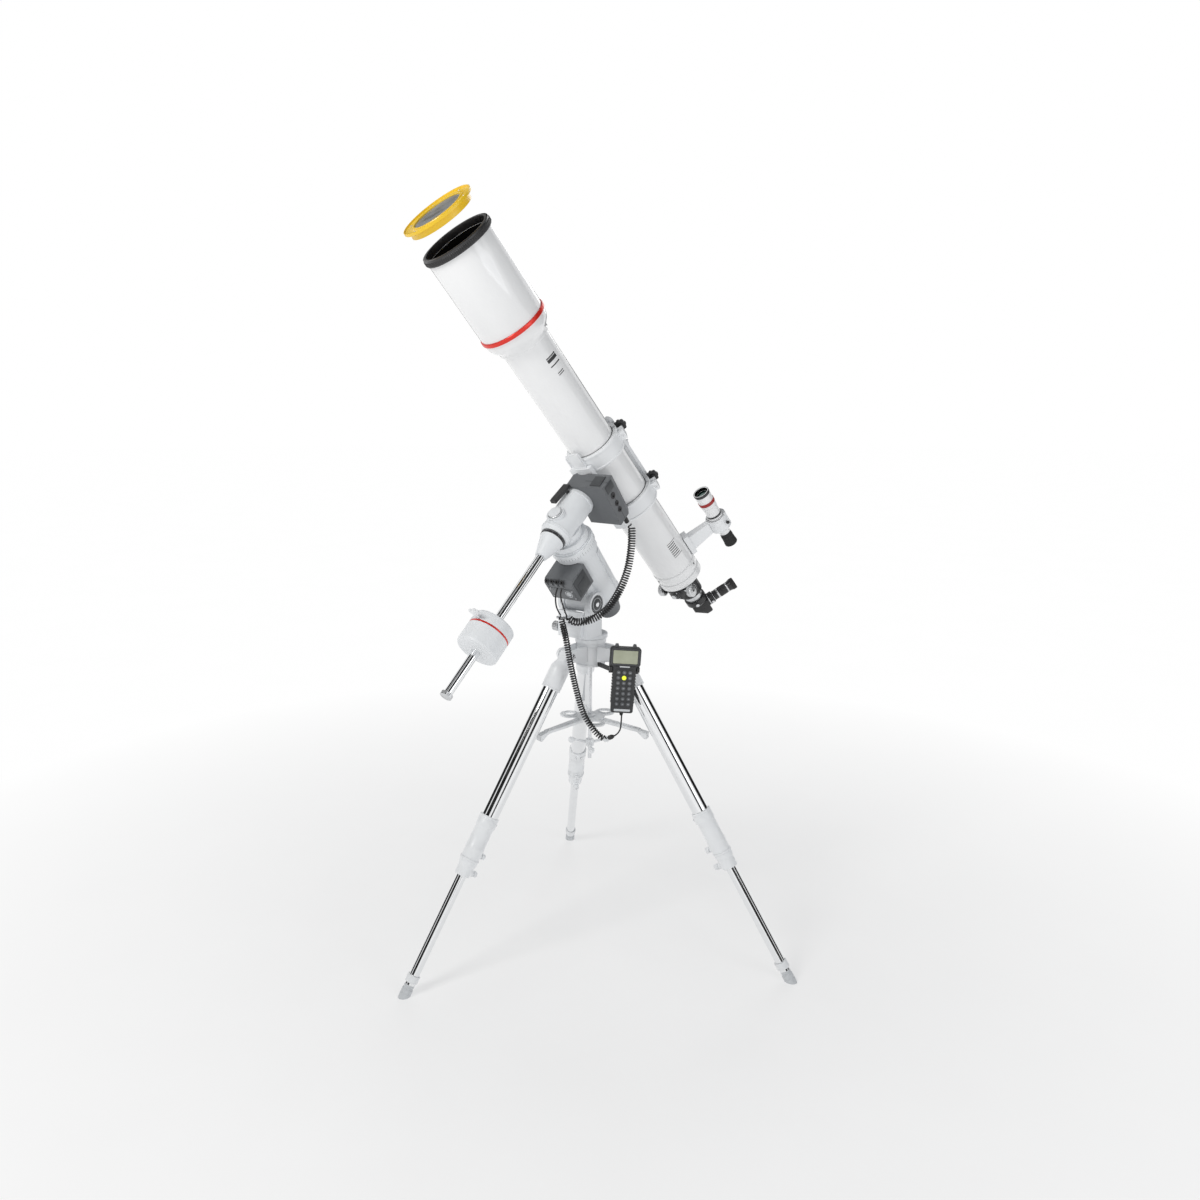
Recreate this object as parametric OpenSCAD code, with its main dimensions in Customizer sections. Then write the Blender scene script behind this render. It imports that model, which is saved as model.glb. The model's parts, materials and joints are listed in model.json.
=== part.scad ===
/* [Mount] */
// Latitude setting: tilt of the polar axis above the horizon
latitude = 50; // [46:1:54]
// Declination setting: turn of the tube about the declination axis
dec_turn = 9; // [0:1:20]
// Distance from the mount's axes to the tube's axis
tube_offset = 266; // [266:1:280]
// Radius of the polar axis housing
ra_r = 61; // [58:1:62]
// Radius of the declination housing
dec_r = 46; // [44:1:47]

/* [Optical tube] */
// Outer diameter of the main tube
tube_d = 142; // [138:1:142]
// Outer diameter of the dew shield
shield_d = 194; // [186:1:196]
// Distance from the declination axis to the front rim
front_z = 780; // [760:5:800]
// Distance from the declination axis to the rear end of the tube
rear_z = 478; // [470:1:480]
// Gap between the front rim and the lifted solar filter
filter_gap = 76; // [70:1:80]

/* [Tripod] */
// Height of the leg hinges above the ground
hinge_z = 936; // [930:1:940]
// Distance from the tripod's axis to each foot
foot_r = 658; // [650:1:665]
// Outer diameter of the upper leg tubes
leg_d = 50.8; // [48:0.1:51]
// Outer diameter of the lower leg tubes
leg_low_d = 30; // [28:1:32]

/* [Counterweight] */
// Diameter of the counterweight
weight_d = 123; // [110:1:126]
// Height of the counterweight
weight_h = 98; // [80:1:100]
// Distance from the polar axis to the counterweight's near face
weight_z = 374; // [360:1:400]

/* [Hidden] */
$fn = 64;

// the origin lies on the ground under the middle of the whole object
origin_x = -93.3;
origin_y = 46.4;
eps = 0.02;
gap = 0.3;
fit = 0.05;
tube_r = tube_d / 2;
shield_r = shield_d / 2;

// crossing point of the polar and declination axes
axes_pt = [0, -142, 1337];

// tripod
hinge_r = 90;
leg_az = [253.64, 13.64, 133.64];
leg_tilt = atan((foot_r - hinge_r) / hinge_z);
leg_len = norm([foot_r - hinge_r, hinge_z]);
clamp_top = 530;
clamp_end = 716;
drum_r = 43;
head_z = 980;
pin_r = 5;
lug_w = 19;
tray_z = 728;
tray_hole_r = 18;
tray_hole_at = 66;
tray_hole_turn = 68;
tray_arm_r = 191;
knob_z = 640;
rod_r = 6;

// latitude pivot, in the polar axis frame
pivot_y = -83;
pivot_z = -242;
cheek_in = 40;
cheek_out = 52;

// tube frame heights
seam_z = 450;
accent_z = 510;
ring_z = [56, -150];
ring_r = 83;
clamp_a = 40;
filter_z = front_z + filter_gap;
ep_a = 49.3;
ep_z = -646;
pinion_y = -46;
pinion_z = -522;
finder_r = 196;
finder_z = -276;

// handset, hung beside the tripod head
handset_at = [158, -46, 884];
handset_turn = 40;
handset_lean = 3;

// cord routes: hand-chosen points on the ground frame
lead_r = 2.25;
dec_coil_r = 12;
hand_coil_r = 10;
cord_ref = [0.64, -0.77, 0];
dec_lead_pts = [[25, -172, 1160], [25, -178, 1140], [31, -174, 1108], [38, -166, 1080]];
dec_coil_pts = [
  [38, -166, 1080], [56, -160, 1066], [82, -148, 1066], [108, -122, 1077], [126, -84, 1102],
  [134, -40, 1148], [137, -8, 1200], [134, 14, 1260], [126, 28, 1310], [119, 34, 1334]
];
hand_lead_pts = [[9, -172, 1160], [8, -180, 1138], [11, -180, 1106], [17, -168, 1079]];
hand_coil_pts = [
  [17.4, -167.5, 1077], [22, -164, 1050], [22, -148, 1003], [30, -136, 926], [40, -122, 850],
  [56, -108, 778], [82, -96, 732], [104, -84, 706], [120, -75, 701]
];
hand_tail_pts = [[140, -63, 711], [149, -57, 721], [153.5, -51, 738], [154, -47, 786]];
barrel_from = [123.5, -73, 702.5];
barrel_to = [140, -63, 711];

function unit(v) = v / norm(v);
function blend_pt(a, b, c, d, t) = 0.5 * (2 * b + (c - a) * t
  + (2 * a - 5 * b + 4 * c - d) * t * t + (3 * b - a - 3 * c + d) * t * t * t);
function smooth(pts, k) = let(n = len(pts) - 1) concat(
  [for (i = [0 : n - 1]) for (j = [0 : k - 1])
    blend_pt(pts[max(i - 1, 0)], pts[i], pts[i + 1], pts[min(i + 2, n)], j / k)],
  [pts[n]]);
function ring_pts(c, dir, r, n) = let(u = unit(cross(cord_ref, dir)), v = cross(dir, u))
  [for (i = [0 : n - 1]) c + r * (cos(360 * i / n) * u + sin(360 * i / n) * v)];

// the frames of the mount's moving parts
module in_ground() { translate([origin_x, origin_y, 0]) children(); }
module in_polar() { in_ground() translate(axes_pt) rotate([90 - latitude, 0, 0]) children(); }
module in_dec() { in_polar() rotate([90, 0, 0]) children(); }
module in_tube() {
  in_dec() rotate([0, 0, dec_turn]) translate([0, 0, -tube_offset]) rotate([-90, 0, 0]) children();
}
module in_leg(i) {
  in_ground() rotate([0, 0, leg_az[i]]) translate([hinge_r, 0, hinge_z])
    rotate([0, -leg_tilt, 0]) children();
}
// z along the drawtube's side branch, where the eyepiece sits
module in_branch() { in_tube() translate([0, 0, ep_z]) rotate([0, 0, ep_a]) rotate([0, 90, 0]) children(); }
module in_handset() {
  in_ground() translate(handset_at) rotate([0, 0, handset_turn]) rotate([90, 0, 0])
    rotate([0, 0, -handset_lean]) children();
}
module along_x() { rotate([0, 90, 0]) children(); }
module along_y() { rotate([-90, 0, 0]) children(); }

// a round bar between two points
module rod_between(a, b, r) {
  d = b - a;
  translate(a) rotate([0, acos(d[2] / norm(d)), atan2(d[1], d[0])]) cylinder(r = r, h = norm(d));
}
// a straight round bar from height a to height b
module bar(r, a, b) { translate([0, 0, a]) cylinder(r = r, h = b - a); }
module cone(r1, r2, a, b) { translate([0, 0, a]) cylinder(r1 = r1, r2 = r2, h = b - a); }
module pipe(r, r_in, a, b) {
  difference() {
    bar(r, a, b);
    bar(r_in, a - 1, b + 1);
  }
}
// a bar with a ribbed grip, n ribs wide
module grip_knob(r, a, b, n) {
  translate([0, 0, a]) linear_extrude(b - a) difference() {
    circle(r);
    for (i = [0 : n - 1]) rotate(360 * i / n) translate([r, 0]) circle(r = r * 1.6 / n, $fn = 16);
  }
}
module block(x, y, z) { translate([x[0], y[0], z[0]]) cube([x[1] - x[0], y[1] - y[0], z[1] - z[0]]); }
// a tube swept along a smooth route
module cord(pts, r, k, n) {
  c = smooth(pts, k);
  m = len(c) - 1;
  rings = [for (i = [0 : m]) ring_pts(c[i], unit(c[min(i + 1, m)] - c[max(i - 1, 0)]), r, n)];
  polyhedron(
    points = [for (g = rings) for (p = g) p],
    faces = concat(
      [[for (j = [0 : n - 1]) j]],
      [for (i = [0 : m - 1]) for (j = [0 : n - 1]) [i * n + j, (i + 1) * n + j, i * n + (j + 1) % n]],
      [for (i = [0 : m - 1]) for (j = [0 : n - 1])
        [(i + 1) * n + j, (i + 1) * n + (j + 1) % n, i * n + (j + 1) % n]],
      [[for (j = [n - 1 : -1 : 0]) m * n + j]]));
}

// ---------- tripod ----------
module head() {
  color("gainsboro") in_ground() {
    difference() {
      union() {
        bar(drum_r, 895, 968);
        bar(47.5, 968, head_z);
        for (a = leg_az) rotate([0, 0, a]) for (s = [-1, 1]) hull() {
          translate([drum_r - 8, s * 25 - 5, 912]) cube([4, 10, 48]);
          translate([hinge_r, s * 25 - 5, hinge_z]) along_y() cylinder(r = 17, h = 10, $fn = 32);
        }
      }
      bar(rod_r, 890, 962);
      for (a = leg_az) rotate([0, 0, a]) translate([hinge_r, -40, hinge_z]) along_y() cylinder(r = pin_r, h = 80);
    }
    for (a = leg_az) rotate([0, 0, a]) translate([hinge_r, -33, hinge_z]) along_y() {
      cylinder(r = pin_r, h = 66);
      translate([0, 0, -4]) cylinder(r = 8, h = 4 + 2.95, $fn = 6);
    }
  }
}
module centre_rod() {
  color("silver") in_ground() bar(rod_r, 590, 962);
}
module handset_bracket() {
  color("dimgray") {
    in_ground() rotate([0, 0, -19]) block([drum_r + eps, 140], [-3, 3], [898, 910.5]);
    in_handset() {
      block([-44, 44], [14, 62], [-24, -20]);
      for (s = [-1, 1]) block([s * 40.2 - 3.8, s * 40.2 + 3.8], [26, 39.7], [-24, 8]);
    }
  }
}
module leg_upper(i) {
  color("whitesmoke") in_leg(i) difference() {
    union() {
      along_y() translate([0, 0, -lug_w]) cylinder(r = 15, h = 2 * lug_w);
      block([-14, 14], [-lug_w, lug_w], [-40, 0]);
      bar(30, -112, -24);
    }
    along_y() translate([0, 0, -40]) cylinder(r = pin_r + fit, h = 80);
    bar(leg_d / 2, -120, -44);
  }
  color("silver") in_leg(i) pipe(leg_d / 2, leg_d / 2 - 1.6, -clamp_top - 20, -44);
  color("whitesmoke") in_leg(i) difference() {
    union() {
      bar(29.5, -clamp_top - 34, -clamp_top);
      bar(27.5, -clamp_end + 30, -clamp_top - 30);
      bar(24, -clamp_end, -clamp_end + 32);
      for (t = [648, 704]) translate([-20, 0, -t]) rotate([0, -90, 0]) cylinder(r = 9, h = 12);
    }
    bar(leg_d / 2, -clamp_top - 20, -clamp_top + 1);
    bar(leg_d / 2 - 1.6, -clamp_top - 40, -clamp_top + 1);
    bar(leg_low_d / 2 + fit, -clamp_end - 1, -clamp_top);
    for (t = [648, 704]) translate([-10, 0, -t]) rotate([0, -90, 0]) cylinder(r = 4 + fit, h = 30);
  }
}
module leg_lower(i) {
  color("silver") in_leg(i) pipe(leg_low_d / 2, leg_low_d / 2 - 1.5, -leg_len + 36, -clamp_end + 70);
  color("gray") in_leg(i) {
    pipe(leg_low_d / 2 + 4, leg_low_d / 2 + eps, -leg_len + 44, -leg_len + 66);
    bar(leg_low_d / 2 - 1.5, -leg_len + 36, -leg_len + 60);
    bar(13, -leg_len + 10.5, -leg_len + 36);
  }
  color("black") in_leg(i) intersection() {
    bar(17, -leg_len - 12, -leg_len + 28);
    translate([0, 0, -leg_len]) rotate([0, leg_tilt, 0]) translate([-40, -40, 0]) cube([80, 80, 60]);
    difference() {
      bar(18, -leg_len - 12, -leg_len + 28);
      bar(13, -leg_len + 10.5, -leg_len + 60);
    }
  }
}
module leg_locks(i) {
  color("silver") in_leg(i) for (t = [648, 704]) translate([0, 0, -t]) rotate([0, -90, 0]) {
    bar(4, leg_low_d / 2 + gap, 34);
    grip_knob(9.5, 34, 46, 12);
  }
}
module tray() {
  color("white") in_ground() translate([0, 0, tray_z]) difference() {
    union() {
      translate([0, 0, -5]) linear_extrude(height = 5) {
        circle(r = 46);
        for (a = leg_az) rotate(a + tray_hole_turn) {
          translate([tray_hole_at, 0]) circle(r = 30);
          translate([30, -24]) square([tray_hole_at - 30, 48]);
        }
      }
      bar(24, -14, -2);
      for (a = leg_az) rotate([0, 0, a]) {
        hull() {
          translate([18, -15, -9]) cube([4, 30, 7]);
          translate([tray_arm_r - 30, -10, -26]) cube([4, 20, 8]);
        }
        hull() {
          translate([tray_arm_r - 32, -9, -25]) cube([4, 18, 6]);
          translate([tray_arm_r - 6, -12, -44]) cube([6, 24, 18]);
        }
      }
    }
    bar(rod_r + 0.1, -60, 20);
    for (a = leg_az) rotate([0, 0, a + tray_hole_turn]) translate([tray_hole_at, 0, -20])
      cylinder(r = tray_hole_r, h = 40);
  }
}
module star_knob() {
  color("whitesmoke") in_ground() translate([0, 0, knob_z]) {
    pipe(13, rod_r + fit, -10, 12);
    for (a = [-48, 72, 192]) rotate([0, 0, a]) {
      translate([11, 0, 0]) along_x() cylinder(r = 4, h = 46);
      translate([64, 0, -2]) sphere(r = 10);
    }
  }
}

// ---------- azimuth and latitude ----------
module mount_fork() {
  color("gainsboro") difference() {
    union() {
      in_ground() {
        bar(46, head_z + 0.05, 998);
        block([-cheek_out, cheek_out], [-92, -14], [996, 1045]);
        block([-cheek_in - 2, cheek_in + 2], [-106, -91], [1000, 1078]);
      }
      for (s = [-1, 1]) hull() {
        in_ground() block([s * 46 - 6, s * 46 + 6], [-92, -24], [1040, 1046]);
        in_polar() translate([s * 46 - 6, pivot_y, pivot_z]) along_x() cylinder(r = 33, h = 12, $fn = 32);
      }
    }
    in_polar() translate([-70, pivot_y, pivot_z]) along_x() cylinder(r = 8, h = 140);
    in_ground() {
      translate([0, -120, 1062]) along_y() cylinder(r = 5 + fit, h = 34);
      translate([-60, -62, 1014]) along_x() cylinder(r = 5 + fit, h = 50);
      translate([0, -30, 1030]) along_y() cylinder(r = 5 + fit, h = 30);
    }
  }
  color("silver") in_ground() for (x = [-14, 26]) translate([x, -98, 1012]) along_y() {
    cylinder(r = 6, h = 5.9);
  }
}
module azimuth_knob() {
  color("silver") in_ground() translate([0, -62, 1014]) along_x() {
    bar(5, -72, -12);
    grip_knob(15, -92, -72, 16);
  }
}
module lat_bolt_front() {
  color("silver") in_ground() translate([0, 0, 1062]) along_y() {
    bar(5, -134, -90);
    translate([-22, 0, -136]) along_x() cylinder(r = 4, h = 44);
  }
}
module lat_bolt_rear() {
  color("silver") in_ground() translate([0, 0, 1030]) along_y() {
    bar(5, -28, 6);
    grip_knob(12, 6, 18, 12);
  }
}
module pivot_caps() {
  color("gray") in_polar() translate([0, pivot_y, pivot_z]) along_x() {
    bar(8, -cheek_out, cheek_out);
    for (s = [-1, 1]) translate([0, 0, s * (cheek_out + 3.5)]) cylinder(r = 36, h = 7, center = true);
  }
}

// ---------- polar axis ----------
module ra_housing() {
  color("gainsboro") in_polar() difference() {
    union() {
      bar(ra_r, -300, -80);
      bar(68, -84, -64);
      bar(64, -110, -84);
      hull() {
        translate([-cheek_in + 0.5, pivot_y, pivot_z]) along_x() cylinder(r = 28, h = 2 * cheek_in - 1, $fn = 32);
        block([-cheek_in + 0.5, cheek_in - 0.5], [-44, -40], [-290, -180]);
      }
    }
    bar(30, -310, -60);
    translate([-60, pivot_y, pivot_z]) along_x() cylinder(r = 8 + fit, h = 120);
    // square-bottomed seat for the motor case
    block([-62, 62], [-140, -50], [-176, -99]);
    translate([-70, 0, -97]) along_x() cylinder(r = 4 + fit, h = 30);
  }
  color("silver") in_polar() intersection() {
    block([30, 70], [12, 34], [-280, -100]);
    pipe(ra_r + 3, ra_r, -280, -120);
  }
}
module ra_motor_case() {
  color("dimgray") in_polar() {
    difference() {
      block([-42, 60], [-130, -50 - gap], [-175, -100]);
      translate([0, -135, -95]) rotate([45, 0, 0]) cube([140, 30, 30], center = true);
      for (x = [-30, -11, 8, 27]) translate([x, -122, -108]) rotate([135, 0, 0]) cylinder(r = 4, h = 40);
    }
  }
}
module rear_cover() {
  color("gray") in_polar() {
    cone(57, 45, -316, -300);
    cone(34, 45, -375, -316);
    pipe(30 - fit, 26, -300, -286);
  }
}
module ra_lever() {
  color("black") in_polar() translate([0, 0, -97]) {
    along_x() bar(4, -84, -42);
    translate([-84, 0, 0]) rotate([60, 0, 0]) hull() {
      translate([0, 0, -8]) cube([11, 12, 16], center = true);
      translate([0, 0, 46]) cube([8, 16, 6], center = true);
    }
  }
}

// ---------- declination axis ----------
module dec_housing() {
  color("gainsboro") difference() {
    union() {
      in_dec() {
        bar(dec_r, -145, 40);
        cone(dec_r, 40, 40, 48);
        bar(40, 40, 49.7);
        cone(37, 17, 60.3, 125);
        bar(30, 40, 66);
      }
      in_polar() {
        bar(58, -63.5, -41);
        bar(dec_r + 1, -41.5, -20);
        bar(27, 20, 49);
      }
    }
    in_dec() {
      bar(25, -150, -40);
      bar(12.5, 70, 130);
      translate([-10, 60, -88]) along_y() translate([0, 0, -30]) cylinder(r = 5 + fit, h = 60);
    }
    in_polar() bar(21, 40, 60);
  }
  color("silver") in_polar() pipe(30 - fit, 20, -220, -63.5);
}
module polar_cap() {
  color("silver") in_polar() {
    bar(22, 49.3, 54);
    bar(20.9, 42, 49.3);
  }
}
module dec_motor_case() {
  color("dimgray") in_dec() {
    difference() {
      union() {
        hull() {
          block([-22, 104], [-86, 48], [-166, -158]);
          block([-24, 110], [-92, 54], [-152, -104]);
        }
      }
      bar(52, -180, -145);
      bar(dec_r, -150, 0);
      translate([-60, -100, -180]) cube([60, 120, 90]);
      for (y = [-50, -26, 4]) translate([100, y, -128]) along_x() cylinder(r = 5, h = 20);
    }
  }
}
module dec_lever() {
  color("black") in_dec() translate([-10, 0, -88]) along_y() {
    bar(5, 32, 58);
    translate([0, 0, 60]) hull() {
      translate([-4, 6, 0]) cube([22, 18, 8], center = true);
      translate([-12, -50, 0]) cube([18, 12, 11], center = true);
    }
  }
}
module dec_circle() {
  color("black") in_dec() pipe(38, 30 + fit, 50, 60);
}
module cw_shaft() {
  color("silver") in_dec() {
    bar(12.5, 75, 613);
    bar(17, 613 + eps, 623);
  }
}
module counterweight() {
  color("gainsboro") in_dec() difference() {
    union() {
      cone(weight_d / 2 - 5, weight_d / 2, weight_z, weight_z + 5);
      bar(weight_d / 2, weight_z + 5, weight_z + weight_h - 5);
      cone(weight_d / 2, weight_d / 2 - 5, weight_z + weight_h - 5, weight_z + weight_h);
    }
    bar(12.5 + fit, weight_z - 1, weight_z + weight_h + 1);
    translate([0, 0, weight_z + 30]) along_y() cylinder(r = 5 + fit, h = 90);
  }
}
module cw_screw() {
  color("silver") in_dec() translate([0, 0, weight_z + 30]) along_y() {
    bar(5, 14, 82);
    translate([0, 0, 88]) cube([34, 9, 14], center = true);
  }
}

// ---------- saddle, rings and handle ----------
module saddle() {
  color("gainsboro") in_tube() {
    along_y() {
      bar(25 - fit, -225, -119.8);
      difference() {
        bar(44, -119.8, -98);
        bar(25 - fit, -121, -119);
      }
    }
    block([-40, 40], [-97.8, -92], [-60, 60]);
    block([-40, -23], [-92.2, -82], [-60, 60]);
    difference() {
      block([23, 40], [-92.2, -82], [-60, 60]);
      translate([20, -87, 0]) along_x() cylinder(r = 4 + fit, h = 40);
    }
  }
}
module saddle_knob() {
  color("black") in_tube() translate([0, -87, 0]) along_x() {
    bar(4, 22.5, 56);
    grip_knob(9, 56, 72, 10);
  }
}
module dovetail() {
  color("whitesmoke") in_tube() {
    block([-22, 22], [-91.7, -ring_r - 0.5], [-190, 110]);
  }
}
module tube_rings() {
  color("whitesmoke") in_tube() {
    for (z = ring_z) translate([0, 0, z]) {
      difference() {
        union() {
          bar(ring_r, -27, 27);
          block([-20, 20], [-ring_r - 0.5, -70], [-27, 27]);
          block([-14, 18], [70, 92], [-20, 20]);
          rotate([0, 0, clamp_a]) block([76, 100], [-16, 16], [-14, 14]);
          rotate([0, 0, clamp_a + 180]) block([76, 92], [-10, 10], [-22, 22]);
        }
        bar(tube_r, -30, 30);
        rotate([0, 0, clamp_a]) translate([92, 0, 0]) along_y() translate([0, 0, -20]) cylinder(r = 4 + fit, h = 50);
        rotate([0, 0, clamp_a]) block([68, 110], [-1.2, 1.2], [-30, 30]);
      }
    }
  }
}
module ring_knob(i) {
  color("black") in_tube() translate([0, 0, ring_z[i]]) rotate([0, 0, clamp_a]) translate([92, 0, 0]) along_y() {
    bar(4, -15, 42);
    grip_knob(19, 42, 56, 8);
  }
}
module carry_bar() {
  color("whitesmoke") in_tube() {
    difference() {
      union() {
        block([-14, 18], [92.05, 104], [-168, 74]);
        translate([2, 92.05, -168]) along_y() cylinder(r = 16, h = 11.95);
        translate([2, 92.05, 74]) along_y() cylinder(r = 16, h = 11.95);
      }
      block([-2, 6], [90, 110], [-118, 20]);
      translate([2, 80, -168]) along_y() cylinder(r = 3.175, h = 40);
    }
  }
  color("silver") in_tube() translate([2, 0, -20]) along_y() {
    bar(3.175, 94, 124);
    grip_knob(12, 104.05, 112, 12);
    bar(5, 112, 118);
  }
}

// ---------- optical tube ----------
module main_tube() {
  color("white") in_tube() {
    pipe(tube_r - gap, tube_r - 2.5, -rear_z, seam_z + 20);
    difference() {
      bar(tube_r + 2, -rear_z - 22, -rear_z);
      bar(41, -rear_z - 30, -rear_z + 10);
    }
  }
}
module dew_shield() {
  color("white") in_tube() {
    difference() {
      union() {
        cone(tube_r + 6, 92, seam_z, seam_z + 30);
        cone(92, shield_r - 2, seam_z + 30, accent_z - 6);
      }
      bar(tube_r - gap, seam_z - 1, seam_z + 20.1);
      bar(tube_r - 4, seam_z + 10, accent_z + 10);
    }
    pipe(shield_r, shield_r - 4, accent_z + 6, front_z - 20);
    pipe(shield_r - 4.05, shield_r - 18, accent_z - 6, accent_z + 30);
  }
}
module accent_ring() {
  color("crimson") in_tube() pipe(shield_r + 3, shield_r - 4, accent_z - 6, accent_z + 6);
}
module rim_ring() {
  color("dimgray") in_tube() difference() {
    union() {
      bar(shield_r + 6, front_z - 18, front_z - 2);
      bar(shield_r + 4, front_z - 20, front_z);
    }
    bar(shield_r - 6, front_z - 30, front_z + 1);
  }
}
module objective_lens() {
  color("lightblue") in_tube() {
    bar(63.5, seam_z + 22, seam_z + 34);
    pipe(tube_r - 4, 63.5, seam_z + 20.2, seam_z + 36);
  }
}
module focuser_body() {
  color("black") in_tube() difference() {
    union() {
      bar(52, -rear_z - 32, -rear_z - 22);
      bar(40.9, -rear_z - 22, -rear_z - 2);
      bar(40, -578, -rear_z - 30);
      block([-22, 22], [-66, -30], [-546, -506]);
    }
    bar(30 + fit, -600, -400);
    translate([-60, pinion_y, pinion_z]) along_x() cylinder(r = 5 + fit, h = 120);
    block([-6.1, 6.1], [-63, -20], [-539, -505]);
  }
}
module drawtube() {
  color("gray") in_tube() difference() {
    union() {
      bar(30, -622, -440);
      bar(36, -624, -602);
    }
    bar(25.45, -640, -430);
    block([-3.2, 3.2], [-40, -28], [-600, -440]);
  }
}
module focus_knobs() {
  color("silver") in_tube() translate([0, pinion_y, pinion_z]) along_x() {
    bar(5, -50, 50);
    for (s = [-1, 1]) translate([0, 0, s * 58]) {
      translate([0, 0, -8]) grip_knob(21, 0, 16, 36);
    }
    grip_knob(15, -3, 3, 24);
  }
}
module diagonal() {
  color("black") {
    in_tube() difference() {
      union() {
        bar(25.4, -626, -590);
        bar(28, -630, -624.3);
        rotate([0, 0, ep_a]) difference() {
          block([-26, 28], [-22, 22], [-680, -630]);
          translate([-26, 0, -680]) rotate([0, 45, 0]) cube([44, 60, 44], center = true);
        }
      }
      bar(15, -640, -580);
    }
    in_branch() difference() {
      bar(20, 28, 52);
      bar(15.875 + fit, 30, 60);
    }
  }
}
module eyepiece() {
  color("black") in_branch() difference() {
    union() {
      bar(15.875, 31, 54);
      bar(16.5, 53, 112);
      cone(16.5, 19, 112, 122);
      bar(19, 122, 136);
    }
    bar(11, 30, 50);
    bar(12, 124, 140);
  }
}
module finder_bracket() {
  color("whitesmoke") in_tube() rotate([0, 0, ep_a]) {
    difference() {
      block([tube_r - 0.5, 88], [-19, 19], [-446, -376]);
      bar(tube_r - gap, -460, -370);
    }
    hull() {
      translate([87, -14, -436]) cube([4, 28, 50]);
      translate([160, -11, -424]) cube([4, 22, 40]);
    }
    translate([finder_r, 0, 0]) {
      pipe(33, 27, -428, -380);
      for (a = [60, 180, 300]) rotate([0, 0, a]) translate([0, 0, -404]) along_x() bar(2.5, 26 + eps, 46);
    }
  }
}
module finder_tube() {
  in_tube() rotate([0, 0, ep_a]) translate([finder_r, 0, 0]) {
    color("white") {
      pipe(25, 20, finder_z - 52, finder_z);
      pipe(23, 18, finder_z - 100, finder_z - 52);
      pipe(25.5, 16, -434, finder_z - 100);
      pipe(18, 14, -452, -434);
    }
    color("crimson") pipe(26.5, 25, finder_z - 46, finder_z - 34);
    color("black") {
      pipe(21, 12, -502, -452);
      bar(12, -498, -486);
      bar(20, finder_z - 14, finder_z - 10);
    }
  }
}
module filter_cell() {
  color("silver") in_tube() {
    pipe(102, 70, filter_z - 3, filter_z);
    pipe(102, 99, filter_z, filter_z + 5);
    pipe(shield_r - 6.5, shield_r - 9, filter_z - 20, filter_z - 3);
    pipe(76, 70, filter_z, filter_z + 3);
    for (a = [0 : 60 : 300]) rotate([0, 0, a + 20]) translate([86, 0, 0]) bar(3, filter_z, filter_z + 2);
  }
}
module filter_film() {
  color("gold") in_tube() bar(70, filter_z - 2, filter_z - 0.5);
}

// ---------- handset ----------
module handset_shell() {
  color("dimgray") in_handset() difference() {
    union() {
      hull() {
        translate([-40, 40, -13]) cube([80, 60, 22]);
        translate([-46, 46, -10]) cube([92, 48, 16]);
      }
      hull() {
        translate([-31, -100, -12]) cube([62, 144, 20]);
        translate([-35, -92, -9]) cube([70, 128, 14]);
      }
      for (s = [-1, 1]) translate([s * 26 - 5, 98, -8]) cube([10, 10, 12]);
    }
    block([-38, 38], [50, 92], [7, 12]);
    for (r = [0 : 6]) for (c = [-1 : 1]) translate([c * 17, 24 - 16 * r, 6]) cylinder(r = 5 + gap, h = 10);
    translate([0, -110, -2]) along_y() cylinder(r = lead_r, h = 25);
  }
  color("darkkhaki") in_handset() block([-37.8, 37.8], [50.2, 91.8], [7, 7.8]);
}
module handset_keys() {
  color("silver") in_handset() {
    for (r = [0 : 6]) for (c = [-1 : 1]) translate([c * 17, 24 - 16 * r, 7.5]) cylinder(r = 5, h = 3);
  }
}

// ---------- cords ----------
module dec_lead() { color("black") in_ground() cord(dec_lead_pts, lead_r, 4, 10); }
module dec_coil() { color("black") in_ground() cord(dec_coil_pts, dec_coil_r, 2, 12); }
module dec_plug() { color("black") in_dec() translate([100, -92, -140]) rotate([90, 0, 0]) cylinder(r = 7, h = 24); }
module hand_lead() { color("black") in_ground() cord(hand_lead_pts, lead_r, 4, 10); }
module hand_coil() { color("black") in_ground() cord(hand_coil_pts, hand_coil_r, 2, 12); }
module hand_tail() {
  color("black") in_ground() {
    cord(hand_tail_pts, lead_r, 3, 10);
    rod_between(barrel_from, barrel_to, 7);
  }
}

head();
centre_rod();
handset_bracket();
leg_upper(0);  // leg_1_upper
leg_upper(1);  // leg_2_upper
leg_upper(2);  // leg_3_upper
leg_lower(0);  // leg_1_lower
leg_lower(1);  // leg_2_lower
leg_lower(2);  // leg_3_lower
leg_locks(0);  // leg_1_locks
leg_locks(1);  // leg_2_locks
leg_locks(2);  // leg_3_locks
tray();
star_knob();
mount_fork();
azimuth_knob();
lat_bolt_front();
lat_bolt_rear();
pivot_caps();
ra_housing();
ra_motor_case();
rear_cover();
ra_lever();
dec_housing();
polar_cap();
dec_motor_case();
dec_lever();
dec_circle();
cw_shaft();
counterweight();
cw_screw();
saddle();
saddle_knob();
dovetail();
tube_rings();
ring_knob(0);  // ring_knob_front
ring_knob(1);  // ring_knob_rear
carry_bar();
main_tube();
dew_shield();
rim_ring();
accent_ring();
objective_lens();
focuser_body();
drawtube();
focus_knobs();
diagonal();
eyepiece();
finder_bracket();
finder_tube();
filter_cell();
filter_film();
handset_shell();
handset_keys();
dec_lead();
dec_coil();
dec_plug();
hand_lead();
hand_coil();
hand_tail();
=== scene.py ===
import json
import math
import bmesh
import bpy
import numpy as np
from mathutils import Matrix, Vector


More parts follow.
